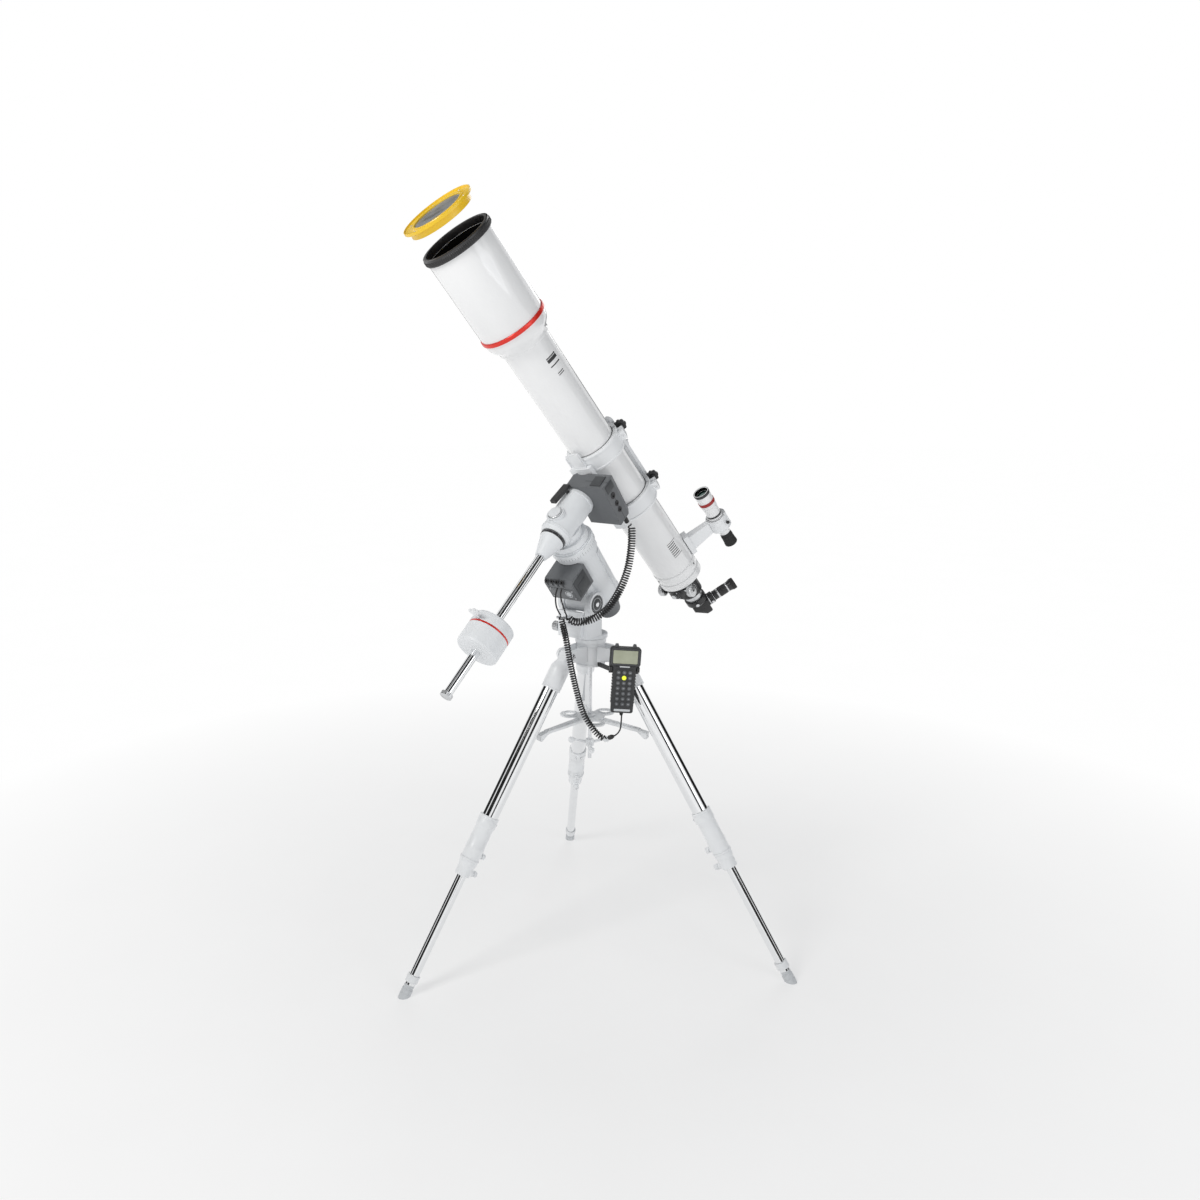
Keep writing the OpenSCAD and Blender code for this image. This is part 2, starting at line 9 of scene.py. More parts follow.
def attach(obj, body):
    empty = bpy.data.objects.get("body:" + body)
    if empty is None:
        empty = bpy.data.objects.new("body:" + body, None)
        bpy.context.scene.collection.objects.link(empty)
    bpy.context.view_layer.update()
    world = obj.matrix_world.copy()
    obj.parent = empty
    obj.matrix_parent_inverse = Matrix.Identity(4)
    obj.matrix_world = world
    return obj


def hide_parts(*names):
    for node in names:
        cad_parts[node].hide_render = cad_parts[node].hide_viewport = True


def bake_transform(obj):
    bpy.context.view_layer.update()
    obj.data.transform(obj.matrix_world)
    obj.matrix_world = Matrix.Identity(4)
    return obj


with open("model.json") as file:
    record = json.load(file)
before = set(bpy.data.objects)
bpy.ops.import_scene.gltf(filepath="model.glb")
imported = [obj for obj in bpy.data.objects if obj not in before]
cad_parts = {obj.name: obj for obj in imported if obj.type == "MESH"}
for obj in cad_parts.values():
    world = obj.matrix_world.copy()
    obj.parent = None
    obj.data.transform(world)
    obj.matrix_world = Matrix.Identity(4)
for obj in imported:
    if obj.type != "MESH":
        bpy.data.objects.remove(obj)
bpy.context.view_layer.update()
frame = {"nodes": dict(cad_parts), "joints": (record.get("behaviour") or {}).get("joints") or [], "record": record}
record = frame["record"]
joints = {j["name"]: j for j in frame["joints"]}
scene = bpy.context.scene
MM = 0.001
SHIFT = Vector((-93.3, 46.4, 0))  # the part's origin, in mm


# ---------------------------------------------------------------- camera
def make_camera():
    cam = bpy.data.cameras.new("camera")
    cam.lens, cam.sensor_width = 28.44, 36
    cam.shift_x = 0.0457
    ob = bpy.data.objects.new("camera", cam)
    ob.location = (1.6143, -2.2074, 1.6728)
    ob.rotation_euler = (math.radians(78.45), 0, math.radians(39.98))
    scene.collection.objects.link(ob)
    scene.camera = ob


make_camera()


# ---------------------------------------------------------------- frames
def axis_of(name):
    return Vector(joints[name]["axis"]).normalized()


def pos_of(name):
    return Vector(joints[name]["pos_m"])


def frame_at(origin, x=None, y=None, z=None):
    """a matrix from mm in a local frame to metres in the row frame"""
    if x is None:
        x = y.cross(z)
    if y is None:
        y = z.cross(x)
    if z is None:
        z = x.cross(y)
    x, y, z = x.normalized(), y.normalized(), z.normalized()
    m = Matrix((x, y, z)).transposed().to_4x4()
    m.translation = origin
    return m @ Matrix.Scale(MM, 4)


POLAR_Z = axis_of("right_ascension")
ACROSS = axis_of("latitude")
CROSSING = pos_of("right_ascension") + 0.1 * POLAR_Z
GROUND = Matrix.Translation(SHIFT * MM) @ Matrix.Scale(MM, 4)
POLAR = frame_at(CROSSING, x=ACROSS, z=POLAR_Z)
DEC_Z = axis_of("declination")
DEC = frame_at(CROSSING, x=ACROSS, z=DEC_Z)
TUBE_Z = axis_of("tube_turn")
TUBE_X = axis_of("saddle_screw_turn")
TUBE = frame_at(pos_of("tube_turn"), x=TUBE_X, z=TUBE_Z)
BRANCH_Z = axis_of("eyepiece_pull")
LEGS = []
for i in (1, 2, 3):
    # the leg runs along -z; its hinge pin is y
    LEGS.append(frame_at(pos_of(f"leg_{i}_fold"), y=axis_of(f"leg_{i}_fold"), z=-axis_of(f"leg_{i}_extend")))
HAND_Y = axis_of("handset_lift")
HAND_Z = -axis_of("key_press")
HAND = frame_at((Vector((158, -46, 884)) + SHIFT) * MM, y=HAND_Y, z=HAND_Z)


def at(m, x=0.0, y=0.0, z=0.0):
    return m @ Vector((x, y, z))


def turned(m, move=(0, 0, 0), turn=0.0, about="Z"):
    return m @ Matrix.Translation(move) @ Matrix.Rotation(math.radians(turn), 4, about)


EP_ANGLE = math.degrees(math.atan2(BRANCH_Z.dot(TUBE.to_3x3().col[1].normalized()),
                                   BRANCH_Z.dot(TUBE.to_3x3().col[0].normalized())))
SIDE = turned(TUBE, turn=EP_ANGLE)
BRANCH = turned(SIDE, (0, 0, -646), 90, "Y")
FINDER = turned(SIDE, (196, 0, 0))


# ---------------------------------------------------------------- materials
class Nodes:
    def __init__(self, name):
        self.mat = bpy.data.materials.new(name)
        self.mat.use_nodes = True
        self.tree = self.mat.node_tree
        self.bsdf = self.tree.nodes["Principled BSDF"]
        self.coord = self.add("ShaderNodeTexCoord").outputs["Object"]

    def add(self, kind, **settings):
        n = self.tree.nodes.new(kind)
        for k, v in settings.items():
            setattr(n, k, v)
        return n

    def link(self, a, b):
        self.tree.links.new(a, b)

    def noise(self, scale, detail=3.0, rough=0.55, stretch=(1, 1, 1), coord=None):
        m = self.add("ShaderNodeMapping")
        m.inputs["Scale"].default_value = stretch
        self.link(coord or self.coord, m.inputs["Vector"])
        n = self.add("ShaderNodeTexNoise")
        n.inputs["Scale"].default_value = scale
        n.inputs["Detail"].default_value = detail
        n.inputs["Roughness"].default_value = rough
        self.link(m.outputs["Vector"], n.inputs["Vector"])
        return n.outputs["Fac"]

    def remap(self, value, low, high, start=0.3, end=0.7):
        n = self.add("ShaderNodeMapRange")
        self.link(value, n.inputs["Value"])
        n.inputs["From Min"].default_value = start
        n.inputs["From Max"].default_value = end
        n.inputs["To Min"].default_value = low
        n.inputs["To Max"].default_value = high
        return n.outputs["Result"]

    def mix(self, fac, a, b):
        n = self.add("ShaderNodeMix", data_type="RGBA")
        self.link(fac, n.inputs["Factor"])
        for socket, colour in ((n.inputs["A"], a), (n.inputs["B"], b)):
            if isinstance(colour, tuple):
                socket.default_value = (*colour, 1)
            else:
                self.link(colour, socket)
        return n.outputs["Result"]

    def math(self, op, a, b=0.0):
        n = self.add("ShaderNodeMath", operation=op)
        for socket, v in ((n.inputs[0], a), (n.inputs[1], b)):
            if isinstance(v, (int, float)):
                socket.default_value = v
            else:
                self.link(v, socket)
        return n.outputs[0]

    def bump(self, height, strength, distance, normal=None):
        n = self.add("ShaderNodeBump")
        n.inputs["Strength"].default_value = strength
        n.inputs["Distance"].default_value = distance
        self.link(height, n.inputs["Height"])
        if normal is not None:
            self.link(normal, n.inputs["Normal"])
        return n.outputs["Normal"]

    def edges(self, radius):
        """rounded shading along a casting's edges"""
        n = self.add("ShaderNodeBevel", samples=4)
        n.inputs["Radius"].default_value = radius
        return n.outputs["Normal"]


def shade(c, k):
    return tuple(max(0.0, min(1.0, v * k)) for v in c)


def painted(name, colour, rough, coat=0.0, grain=900, depth=0.00006, vary=0.05, edge=0.0, metal=0.0,
            rough_vary=0.06, spec=0.5, dust=0.0):
    """paint, moulded plastic or rubber: mottled colour, uneven gloss and a fine skin"""
    n = Nodes(name)
    broad = n.noise(9, 4)
    fine = n.noise(grain, 2)
    tint = n.mix(n.remap(broad, 0, 1), shade(colour, 1 - vary), shade(colour, 1 + vary))
    if dust:
        speck = n.remap(n.noise(grain * 0.45, 6, 0.7), 0, 1, 0.56, 0.72)
        tint = n.mix(n.math("MULTIPLY", speck, dust), tint, shade(colour, 1.9))
    n.link(tint, n.bsdf.inputs["Base Color"])
    n.link(n.remap(n.noise(40, 3), rough - rough_vary, rough + rough_vary), n.bsdf.inputs["Roughness"])
    n.bsdf.inputs["Metallic"].default_value = metal
    n.bsdf.inputs["Specular IOR Level"].default_value = spec
    n.bsdf.inputs["Coat Weight"].default_value = coat
    n.bsdf.inputs["Coat Roughness"].default_value = 0.06
    normal = n.edges(edge) if edge else None
    n.link(n.bump(fine, 0.5, depth, normal), n.bsdf.inputs["Normal"])
    return n.mat


def metal(name, colour, rough, stretch=(1, 1, 1), grain=700, depth=0.00002, edge=0.0, streak=0.10):
    """bare metal with the lines left by turning, brushing or drawing"""
    n = Nodes(name)
    lines = n.noise(grain, 3, 0.6, stretch)
    n.link(n.mix(n.remap(lines, 0, 1), shade(colour, 1 - streak), shade(colour, 1 + streak * 0.4)),
           n.bsdf.inputs["Base Color"])
    n.bsdf.inputs["Metallic"].default_value = 1.0
    smudge = n.noise(14, 5)
    n.link(n.remap(smudge, max(0.03, rough - 0.05), rough + 0.07), n.bsdf.inputs["Roughness"])
    normal = n.edges(edge) if edge else None
    n.link(n.bump(lines, 0.4, depth, normal), n.bsdf.inputs["Normal"])
    return n.mat


WHITE = painted("white_enamel", (0.86, 0.865, 0.87), 0.18, coat=0.6, grain=160, depth=0.000008, vary=0.015)
CAST = painted("powder_coated_casting", (0.80, 0.82, 0.84), 0.40, grain=300, depth=0.000006, vary=0.03,
        edge=0.0016)
CASTWHITE = painted("white_casting", (0.84, 0.855, 0.87), 0.34, grain=300, depth=0.000005, vary=0.025,
        edge=0.0016)
PALE = painted("pale_grey_paint", (0.60, 0.62, 0.64), 0.38, grain=1200, depth=0.00008, vary=0.03,
        edge=0.001)
MOTOR = painted("dark_grey_moulding", (0.135, 0.142, 0.150), 0.46, grain=1500, depth=0.00014, vary=0.07,
        edge=0.0008,
                dust=0.10)
MOTORDARK = painted("darker_grey_moulding", (0.060, 0.064, 0.068), 0.50, grain=1500, depth=0.00014,
        vary=0.08)
SATIN = painted("black_anodised", (0.030, 0.030, 0.032), 0.32, grain=400, depth=0.000006, vary=0.12,
        metal=0.0)
BLACK = painted("black_plastic", (0.022, 0.022, 0.023), 0.44, grain=1300, depth=0.00010, vary=0.10,
        dust=0.06)
RUBBER = painted("black_rubber", (0.018, 0.018, 0.018), 0.72, grain=1100, depth=0.00014, vary=0.15,
        dust=0.12)
FLOCK = painted("matt_black_lining", (0.006, 0.006, 0.006), 0.92, grain=2200, depth=0.00020, vary=0.25,
        spec=0.1)
RED = painted("red_anodised", (0.72, 0.032, 0.020), 0.26, grain=1500, depth=0.00003, vary=0.06, metal=0.25)
WINE = painted("dark_red_ring", (0.34, 0.016, 0.014), 0.30, grain=1500, depth=0.00003, vary=0.06)
YELLOW = painted("yellow_ring_plastic", (0.88, 0.57, 0.016), 0.36, grain=120, depth=0.000002, vary=0.04,
        coat=0.15)
HANDPLASTIC = painted("handset_plastic", (0.030, 0.031, 0.033), 0.40, grain=1600, depth=0.00012, vary=0.10,
        dust=0.08)
HANDTRIM = painted("handset_trim", (0.075, 0.078, 0.082), 0.36, grain=1600, depth=0.00010, vary=0.08)
CORD = painted("cord_sheath", (0.020, 0.020, 0.021), 0.42, grain=1600, depth=0.00006, vary=0.12)
INK = painted("printed_ink", (0.030, 0.031, 0.033), 0.48, grain=1600, depth=0.00002, vary=0.10)
CHROME = metal("polished_steel_tube", (0.86, 0.87, 0.88), 0.06, (1, 1, 1), 40, 0.000001, streak=0.02)
STEEL = metal("bright_steel", (0.74, 0.75, 0.77), 0.18, (1, 1, 1), 500, 0.000003, edge=0.0006)
MACHINED = metal("machined_aluminium", (0.68, 0.69, 0.70), 0.30, (1, 1, 1), 900, 0.000006, edge=0.0006)


def film_material():
    """metallised film: grey, mirror-like and slightly crumpled, with painted shade in the hollows of the creases
    """
    n = Nodes("metallised_film")
    crease_height_and_painted_shade = n.noise(24, 3, 0.5)
    # painted shade: the colour follows the crease height, darker in the hollows
    n.link(n.mix(n.remap(crease_height_and_painted_shade, 0, 1), (0.26, 0.27, 0.27), (0.36, 0.37, 0.37)),
            n.bsdf.inputs["Base Color"])
    n.bsdf.inputs["Metallic"].default_value = 0.75
    n.link(n.remap(crease_height_and_painted_shade, 0.24, 0.40), n.bsdf.inputs["Roughness"])
    n.link(n.bump(crease_height_and_painted_shade, 0.2, 0.0002), n.bsdf.inputs["Normal"])
    return n.mat


def lens_material():
    """coated glass: dark, with a green to violet sheen from the coating"""
    n = Nodes("coated_glass")
    n.link(n.mix(n.remap(n.noise(5, 2), 0, 1), (0.010, 0.022, 0.020), (0.018, 0.014, 0.030)),
            n.bsdf.inputs["Base Color"])
    n.link(n.remap(n.noise(30, 4), 0.02, 0.07), n.bsdf.inputs["Roughness"])
    n.bsdf.inputs["Specular IOR Level"].default_value = 0.8
    n.bsdf.inputs["Coat Weight"].default_value = 1.0
    n.bsdf.inputs["Coat Roughness"].default_value = 0.02
    n.bsdf.inputs["Coat Tint"].default_value = (0.55, 0.9, 0.8, 1)
    return n.mat


def lcd_material():
    """grey-green display with faint rows of cells"""
    n = Nodes("display_glass")
    sep = n.add("ShaderNodeSeparateXYZ")
    n.link(n.coord, sep.inputs[0])
    rows = n.math("SINE", n.math("MULTIPLY", sep.outputs["Z"], 2 * math.pi / 0.0018))
    cells = n.remap(rows, 0, 0.30, 0.75, 1.0)
    base = n.mix(n.remap(n.noise(30, 2), 0, 1), (0.33, 0.35, 0.25), (0.40, 0.42, 0.31))
    n.link(n.mix(cells, base, (0.27, 0.29, 0.20)), n.bsdf.inputs["Base Color"])
    n.link(n.remap(n.noise(60, 2), 0.10, 0.2), n.bsdf.inputs["Roughness"])
    n.bsdf.inputs["Coat Weight"].default_value = 0.6
    n.link(n.bump(cells, 0.2, 0.00002), n.bsdf.inputs["Normal"])
    return n.mat


def lit_material():
    """a lit key, yellow-green"""
    n = Nodes("lit_key")
    tint = n.mix(n.remap(n.noise(260, 2), 0, 1), (0.50, 0.56, 0.02), (0.66, 0.70, 0.05))
    n.link(tint, n.bsdf.inputs["Base Color"])
    n.link(tint, n.bsdf.inputs["Emission Color"])
    n.bsdf.inputs["Emission Strength"].default_value = 0.9
    n.link(n.remap(n.noise(90, 2), 0.3, 0.45), n.bsdf.inputs["Roughness"])
    return n.mat


def key_material():
    """grey rubber keys"""
    return painted("key_rubber", (0.115, 0.120, 0.128), 0.55, grain=1500, depth=0.00010, vary=0.12,
            edge=0.0006)


FILM = film_material()
LENS = lens_material()
LCD = lcd_material()
LIT = lit_material()
KEY = key_material()


# ---------------------------------------------------------------- mesh helpers, all in mm
def lathe(profile, n=64, close=False):
    """profile of (radius, height) turned about z; close joins its ends into a ring"""
    bm = bmesh.new()
    rings = []
    for r, z in profile:
        if r < 1e-6:
            rings.append([bm.verts.new((0, 0, z))])
        else:
            rings.append([bm.verts.new((r * math.cos(2 * math.pi * k / n),
                r * math.sin(2 * math.pi * k / n), z))
                          for k in range(n)])
    pairs = list(zip(rings, rings[1:]))
    if close:
        pairs.append((rings[-1], rings[0]))
    for a, b in pairs:
        for k in range(n):
            m = (k + 1) % n
            if len(a) == 1 and len(b) == 1:
                continue
            if len(a) == 1:
                bm.faces.new((a[0], b[k], b[m]))
            elif len(b) == 1:
                bm.faces.new((a[k], b[0], a[m]))
            else:
                bm.faces.new((a[k], b[k], b[m], a[m]))
    bmesh.ops.recalc_face_normals(bm, faces=bm.faces)
    return bm


def rounded(points, r=1.0, closed=False):
    """the profile with its corners eased by two extra points each"""
    out = []
    n = len(points)
    for i, p in enumerate(points):
        if not closed and i in (0, n - 1):
            out.append(p)
            continue
        p = Vector(p)
        a, b = Vector(points[i - 1]) - p, Vector(points[(i + 1) % n]) - p
        k = min(r, a.length * 0.45, b.length * 0.45)
        if k < 0.05:
            out.append(tuple(p))
            continue
        p0, p2 = p + a.normalized() * k, p + b.normalized() * k
        mid = (p0 + p2) * 0.25 + p * 0.5
        out += [tuple(p0), tuple(mid), tuple(p2)]
    return out


def ring(r_out, r_in, z0, z1, ease=0.8, n=64):
    return lathe(rounded([(r_in, z0), (r_out, z0), (r_out, z1), (r_in, z1)], ease, True), n, True)


def disc(r, z0, z1, ease=0.8, n=48):
    return lathe(rounded([(0, z0), (r, z0), (r, z1), (0, z1)], ease), n)


def prism(outline, z0, z1, ease=0.0, seg=2):
    """an outline of (x, y) points drawn up from z0 to z1, its sharp edges rounded"""
    bm = bmesh.new()
    low = [bm.verts.new((x, y, z0)) for x, y in outline]
    high = [bm.verts.new((x, y, z1)) for x, y in outline]
    n = len(outline)
    bm.faces.new(list(reversed(low)))
    bm.faces.new(high)
    for k in range(n):
        m = (k + 1) % n
        bm.faces.new((low[k], low[m], high[m], high[k]))
    bmesh.ops.recalc_face_normals(bm, faces=bm.faces)
    if ease:
        soften(bm, ease, seg)
    return bm


def soften(bm, width, seg=2, angle=30):
    edges = [e for e in bm.edges if e.is_manifold and e.calc_face_angle(0) > math.radians(angle)]
    if edges:
        bmesh.ops.bevel(bm, geom=edges, offset=width, segments=seg, profile=0.5, affect="EDGES",
                clamp_overlap=True)


# turns an outline drawn in x and y to stand in x and z
UPRIGHT = Matrix.Rotation(math.radians(90), 4, "X")


def around_axis(r, t, z):
    """the point at radius r and angle t around the z axis"""
    return (r * math.cos(t), r * math.sin(t), z)


def hoop(inner, outer, z0, z1, ease, seg):
    """a flat ring with eased corners"""
    return lathe(rounded([(inner, z0), (outer, z0), (outer, z1), (inner, z1)], ease, True), seg, True)


def round_bar(r, z0, z1, seg):
    """a plain round rod"""
    return lathe([(0, z0), (r, z0), (r, z1), (0, z1)], seg)


def box(x, y, z, ease=1.0, seg=2):
    return prism([(x[0], y[0]), (x[1], y[0]), (x[1], y[1]), (x[0], y[1])], z[0], z[1], ease, seg)


def corner_box(x, y, r, n=6):
    """a rectangle's outline with round corners"""
    out = []
    for cx, cy, a in ((x[1] - r, y[1] - r, 0), (x[0] + r, y[1] - r, 90), (x[0] + r, y[0] + r, 180),
            (x[1] - r, y[0] + r, 270)):
        for k in range(n + 1):
            t = math.radians(a + 90 * k / n)
            out.append((cx + r * math.cos(t), cy + r * math.sin(t)))
    return out


def lobes(r, depth, n, per=10, sharp=1.0):
    """the outline of a grip with n lobes"""
    out = []
    for k in range(n * per):
        t = 2 * math.pi * k / (n * per)
        w = (0.5 + 0.5 * math.cos(n * t)) ** sharp
        out.append(((r - depth + depth * w) * math.cos(t), (r - depth + depth * w) * math.sin(t)))
    return out


def knurl(r, z0, z1, n, depth=0.8, crown=1.2):
    """a knurled grip: ribs with bevelled ends"""
    bm = bmesh.new()
    rows = []
    for z, k, d in ((z0, r - crown - depth, 0), (z0 + crown, r - depth, depth),
            (z1 - crown, r - depth, depth), (z1, r - crown - depth, 0)):
        row = []
        for i in range(n * 4):
            t = 2 * math.pi * i / (n * 4)
            rr = k + d * (0, 0.8, 1, 0.8)[i % 4]
            row.append(bm.verts.new((rr * math.cos(t), rr * math.sin(t), z)))
        rows.append(row)
    m = n * 4
    for a, b in zip(rows, rows[1:]):
        for i in range(m):
            j = (i + 1) % m
            bm.faces.new((a[i], a[j], b[j], b[i]))
    bm.faces.new(list(reversed(rows[0])))
    bm.faces.new(rows[-1])
    bmesh.ops.recalc_face_normals(bm, faces=bm.faces)
    return bm


def catmull(points, k):
    pts = [Vector(p) for p in points]
    out = []
    n = len(pts) - 1
    for i in range(n):
        a, b, c, d = pts[max(i - 1, 0)], pts[i], pts[i + 1], pts[min(i + 2, n)]
        for j in range(k):
            t = j / k
            out.append(0.5 * (2 * b + (c - a) * t + (2 * a - 5 * b + 4 * c - d) * t * t
                              + (3 * b - a - 3 * c + d) * t ** 3))
    out.append(pts[n])
    return out


def length_of(path):
    return sum((b - a).length for a, b in zip(path, path[1:]))


def moving_frames(path, ref=Vector((0.64, -0.77, 0.05))):
    """for each point its direction and two axes across it, carried along without twist"""
    n = len(path)
    out = []
    u = None
    for i in range(n):
        d = (path[min(i + 1, n - 1)] - path[max(i - 1, 0)]).normalized()
        u = d.cross(ref).normalized() if u is None else (u - d * u.dot(d)).normalized()
        out.append((d, u, d.cross(u)))
    return out


def sweep(path, r, n=8):
    """a round tube along a path of points; r is a radius or one radius for each point"""
    bm = bmesh.new()
    rows = []
    for i, (p, (d, u, v)) in enumerate(zip(path, moving_frames(path))):
        k = r[i] if isinstance(r, list) else r
        turns = [2 * math.pi * j / n for j in range(n)]
        rows.append([bm.verts.new(p + k * (math.cos(t) * u + math.sin(t) * v)) for t in turns])
    for a, b in zip(rows, rows[1:]):
        for j in range(n):
            m = (j + 1) % n
            bm.faces.new((a[j], b[j], b[m], a[m]))
    bm.faces.new(rows[0])
    bm.faces.new(list(reversed(rows[-1])))
    bmesh.ops.recalc_face_normals(bm, faces=bm.faces)
    return bm


def coil(route, radius, pitch, step=4.0, lead_in=9.0):
    """points of a helix wound about a route, which runs into it and out of it without a kink"""
    line = catmull(route, 24)
    frames = moving_frames(line)
    cum = [0.0]
    for a, b in zip(line, line[1:]):
        cum.append(cum[-1] + (b - a).length)
    total = cum[-1]
    out = [line[0]]
    x = turn = 0.0
    j = 0
    while True:
        near = min(x, total - x)
        wind = max(0.0, min(1.0, (near - 0.35 * lead_in) / (1.4 * lead_in)))
        rate = wind * 2 * math.pi / pitch
        grow = max(0.0, min(1.0, near / lead_in))
        r = radius * grow * grow * (3 - 2 * grow)
        dx = step / math.sqrt(1 + (rate * r) ** 2 + (0 if grow in (0.0,
                1.0) else (1.5 * radius / lead_in) ** 2))
        x += dx
        turn += rate * dx
        if x >= total:
            break
        while j < len(cum) - 2 and cum[j + 1] < x:
            j += 1
        t = (x - cum[j]) / max(1e-9, cum[j + 1] - cum[j])
        p = line[j].lerp(line[j + 1], t)
        u = frames[j][1].lerp(frames[j + 1][1], t).normalized()
        v = frames[j][2].lerp(frames[j + 1][2], t).normalized()
        near = min(x, total - x)
        grow = max(0.0, min(1.0, near / lead_in))
        r = radius * grow * grow * (3 - 2 * grow)
        out.append(p + r * (math.cos(turn) * u + math.sin(turn) * v))
    if (out[-1] - line[-1]).length < 0.5 * step:
        out.pop()
    out.append(line[-1])
    return out


def put(name, bms, m, mats, body, angle=40, replaces=()):
    """makes one piece from bmeshes in the frame m, one material for each bmesh"""
    if not isinstance(bms, list):
        bms = [bms]
    if not isinstance(mats, list):
        mats = [mats] * len(bms)
    kinds = []
    me = bpy.data.meshes.new(name)
    whole = bmesh.new()
    for bm, mat in zip(bms, mats):
        if mat not in kinds:
            kinds.append(mat)
        for f in bm.faces:
            f.material_index = kinds.index(mat)
        part = bpy.data.meshes.new("part")
        bm.to_mesh(part)
        bm.free()
        whole.from_mesh(part)
        bpy.data.meshes.remove(part)
    whole.to_mesh(me)
    whole.free()
    for mat in kinds:
        me.materials.append(mat)
    me.transform(m)
    me.polygons.foreach_set("use_smooth", [True] * len(me.polygons))
    me.set_sharp_from_angle(angle=math.radians(angle))
    ob = bpy.data.objects.new(name, me)
    scene.collection.objects.link(ob)
    if body:
        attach(ob, body)
    if replaces:
        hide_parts(*replaces)
    return ob


def moved(bm, m):
    bm.transform(m)
    return bm


def shifted(bm, x=0.0, y=0.0, z=0.0):
    return moved(bm, Matrix.Translation((x, y, z)))


def spun(bm, turn, about="Z"):
    return moved(bm, Matrix.Rotation(math.radians(turn), 4, about))


def along(bm, axis, origin=(0, 0, 0)):
    """stands a z-wise bmesh on origin, pointing along axis"""
    q = Vector(axis).to_track_quat("Z", "Y").to_matrix().to_4x4()
    return moved(bm, Matrix.Translation(origin) @ q)


# ---------------------------------------------------------------- cords
DEC_LEAD = [(25, -172, 1160), (25, -178, 1140), (31, -174, 1108), (38, -166, 1080)]
DEC_COIL = [(38, -166, 1080), (56, -160, 1066), (82, -148, 1066), (108, -122, 1077), (126, -84, 1102),
            (134, -40, 1148), (137, -8, 1200), (134, 14, 1260), (126, 28, 1310), (119, 34, 1334)]
HAND_LEAD = [(9, -172, 1160), (8, -180, 1138), (11, -180, 1106), (17, -168, 1079)]
HAND_COIL = [(17.4, -167.5, 1077), (22, -164, 1050), (22, -148, 1003), (30, -136, 926), (40, -122, 850),
             (56, -108, 778), (82, -96, 732), (104, -84, 706), (120, -75, 701)]
HAND_TAIL = [(140, -63, 711), (149, -57, 721), (153.5, -51, 738), (154, -47, 786)]


def in_row(points):
    return [(Vector(p) + SHIFT) * MM for p in points]


def make_cord(name, path, d, body, blended, nodes):
    ob = put(name, sweep(path, d / 2, 8), Matrix.Identity(4), CORD, None if blended else body,
            60)
    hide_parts(*nodes)
    if blended:
        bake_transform(ob)
    print("cord", name, round(length_of(path), 3))
    return ob


def make_cords():
    lead = in_row(catmull(DEC_LEAD, 8))
    curl = in_row(coil(DEC_COIL, 9.6, 7.4))
    path = lead[:-1] + curl
    make_cord("declination_cord", path, 0.0045, "polar_body",
              ("polar_body", "dec_body", curl[len(curl) // 5], path[-1]), ("dec_lead", "dec_coil"))
    lead = in_row(catmull(HAND_LEAD, 8))
    make_cord("handset_cord_top", lead, 0.0045, "polar_body", ("fork", "polar_body", lead[-1], lead[0]),
            ("hand_lead",))
    curl = in_row(coil(HAND_COIL, 7.6, 7.6))
    make_cord("handset_cord_curl", curl, 0.0045, "fork", ("fork", "tripod", curl[0], curl[len(curl) // 2]),
            ("hand_coil",))
    tail = in_row(catmull(HAND_TAIL, 8))
    make_cord("handset_cord_tail", tail, 0.0045, "tripod", ("tripod", "handset", tail[0], tail[-1]),
            ("hand_tail",))
    a, b = in_row([(123.5, -73, 702.5), (140, -63, 711)])
    barrel = lathe(rounded([(0, -1), (3.4, -1), (5.6, 2), (7, 3), (7, 13.5), (5.4, 15), (5.4, 17),
            (3.2, 20.2), (0, 20.2)], 0.6), 32)
    put("cord_barrel", [along(barrel, b - a)], Matrix.Translation(a) @ Matrix.Scale(MM, 4), BLACK, "tripod")


make_cords()

# ---------------------------------------------------------------- finishes of the CAD nodes
FINISH = {
    "head": CASTWHITE, "centre_rod": STEEL, "handset_bracket": BLACK, "tray": CASTWHITE,
            "star_knob": CASTWHITE,
    "mount_fork": CAST, "azimuth_knob": MACHINED, "lat_bolt_front": STEEL, "lat_bolt_rear": STEEL,
            "pivot_caps": CAST,
    "ra_housing": CAST, "ra_motor_case": MOTOR, "rear_cover": MOTOR, "ra_lever": BLACK,
    "dec_housing": CAST, "polar_cap": MACHINED, "dec_motor_case": MOTOR, "dec_lever": BLACK,
            "dec_circle": SATIN,
    "cw_shaft": CHROME, "counterweight": CAST, "cw_screw": CASTWHITE,
    "saddle": CASTWHITE, "saddle_knob": BLACK, "dovetail": CASTWHITE, "tube_rings": CASTWHITE,
    "ring_knob_front": BLACK, "ring_knob_rear": BLACK, "carry_bar": CASTWHITE,
    "main_tube": WHITE, "dew_shield": WHITE, "rim_ring": SATIN, "accent_ring": RED, "objective_lens": LENS,
    "focuser_body": SATIN, "drawtube": SATIN, "focus_knobs": MACHINED, "diagonal": SATIN, "eyepiece": BLACK,
    "finder_bracket": CASTWHITE, "finder_tube": WHITE, "filter_cell": YELLOW, "filter_film": FILM,
    "handset_shell": HANDPLASTIC, "handset_keys": KEY, "dec_plug": BLACK,
    "dec_lead": CORD, "dec_coil": CORD, "hand_lead": CORD, "hand_coil": CORD, "hand_tail": CORD,
}
for i in (1, 2, 3):
    FINISH[f"leg_{i}_upper"] = CHROME
    FINISH[f"leg_{i}_lower"] = CHROME
    FINISH[f"leg_{i}_locks"] = CASTWHITE
for name, node in frame["nodes"].items():
    finish = FINISH[name]
    if not node.data.materials:
        node.data.materials.append(finish)
    for k in range(len(node.data.materials)):
        node.data.materials[k] = finish


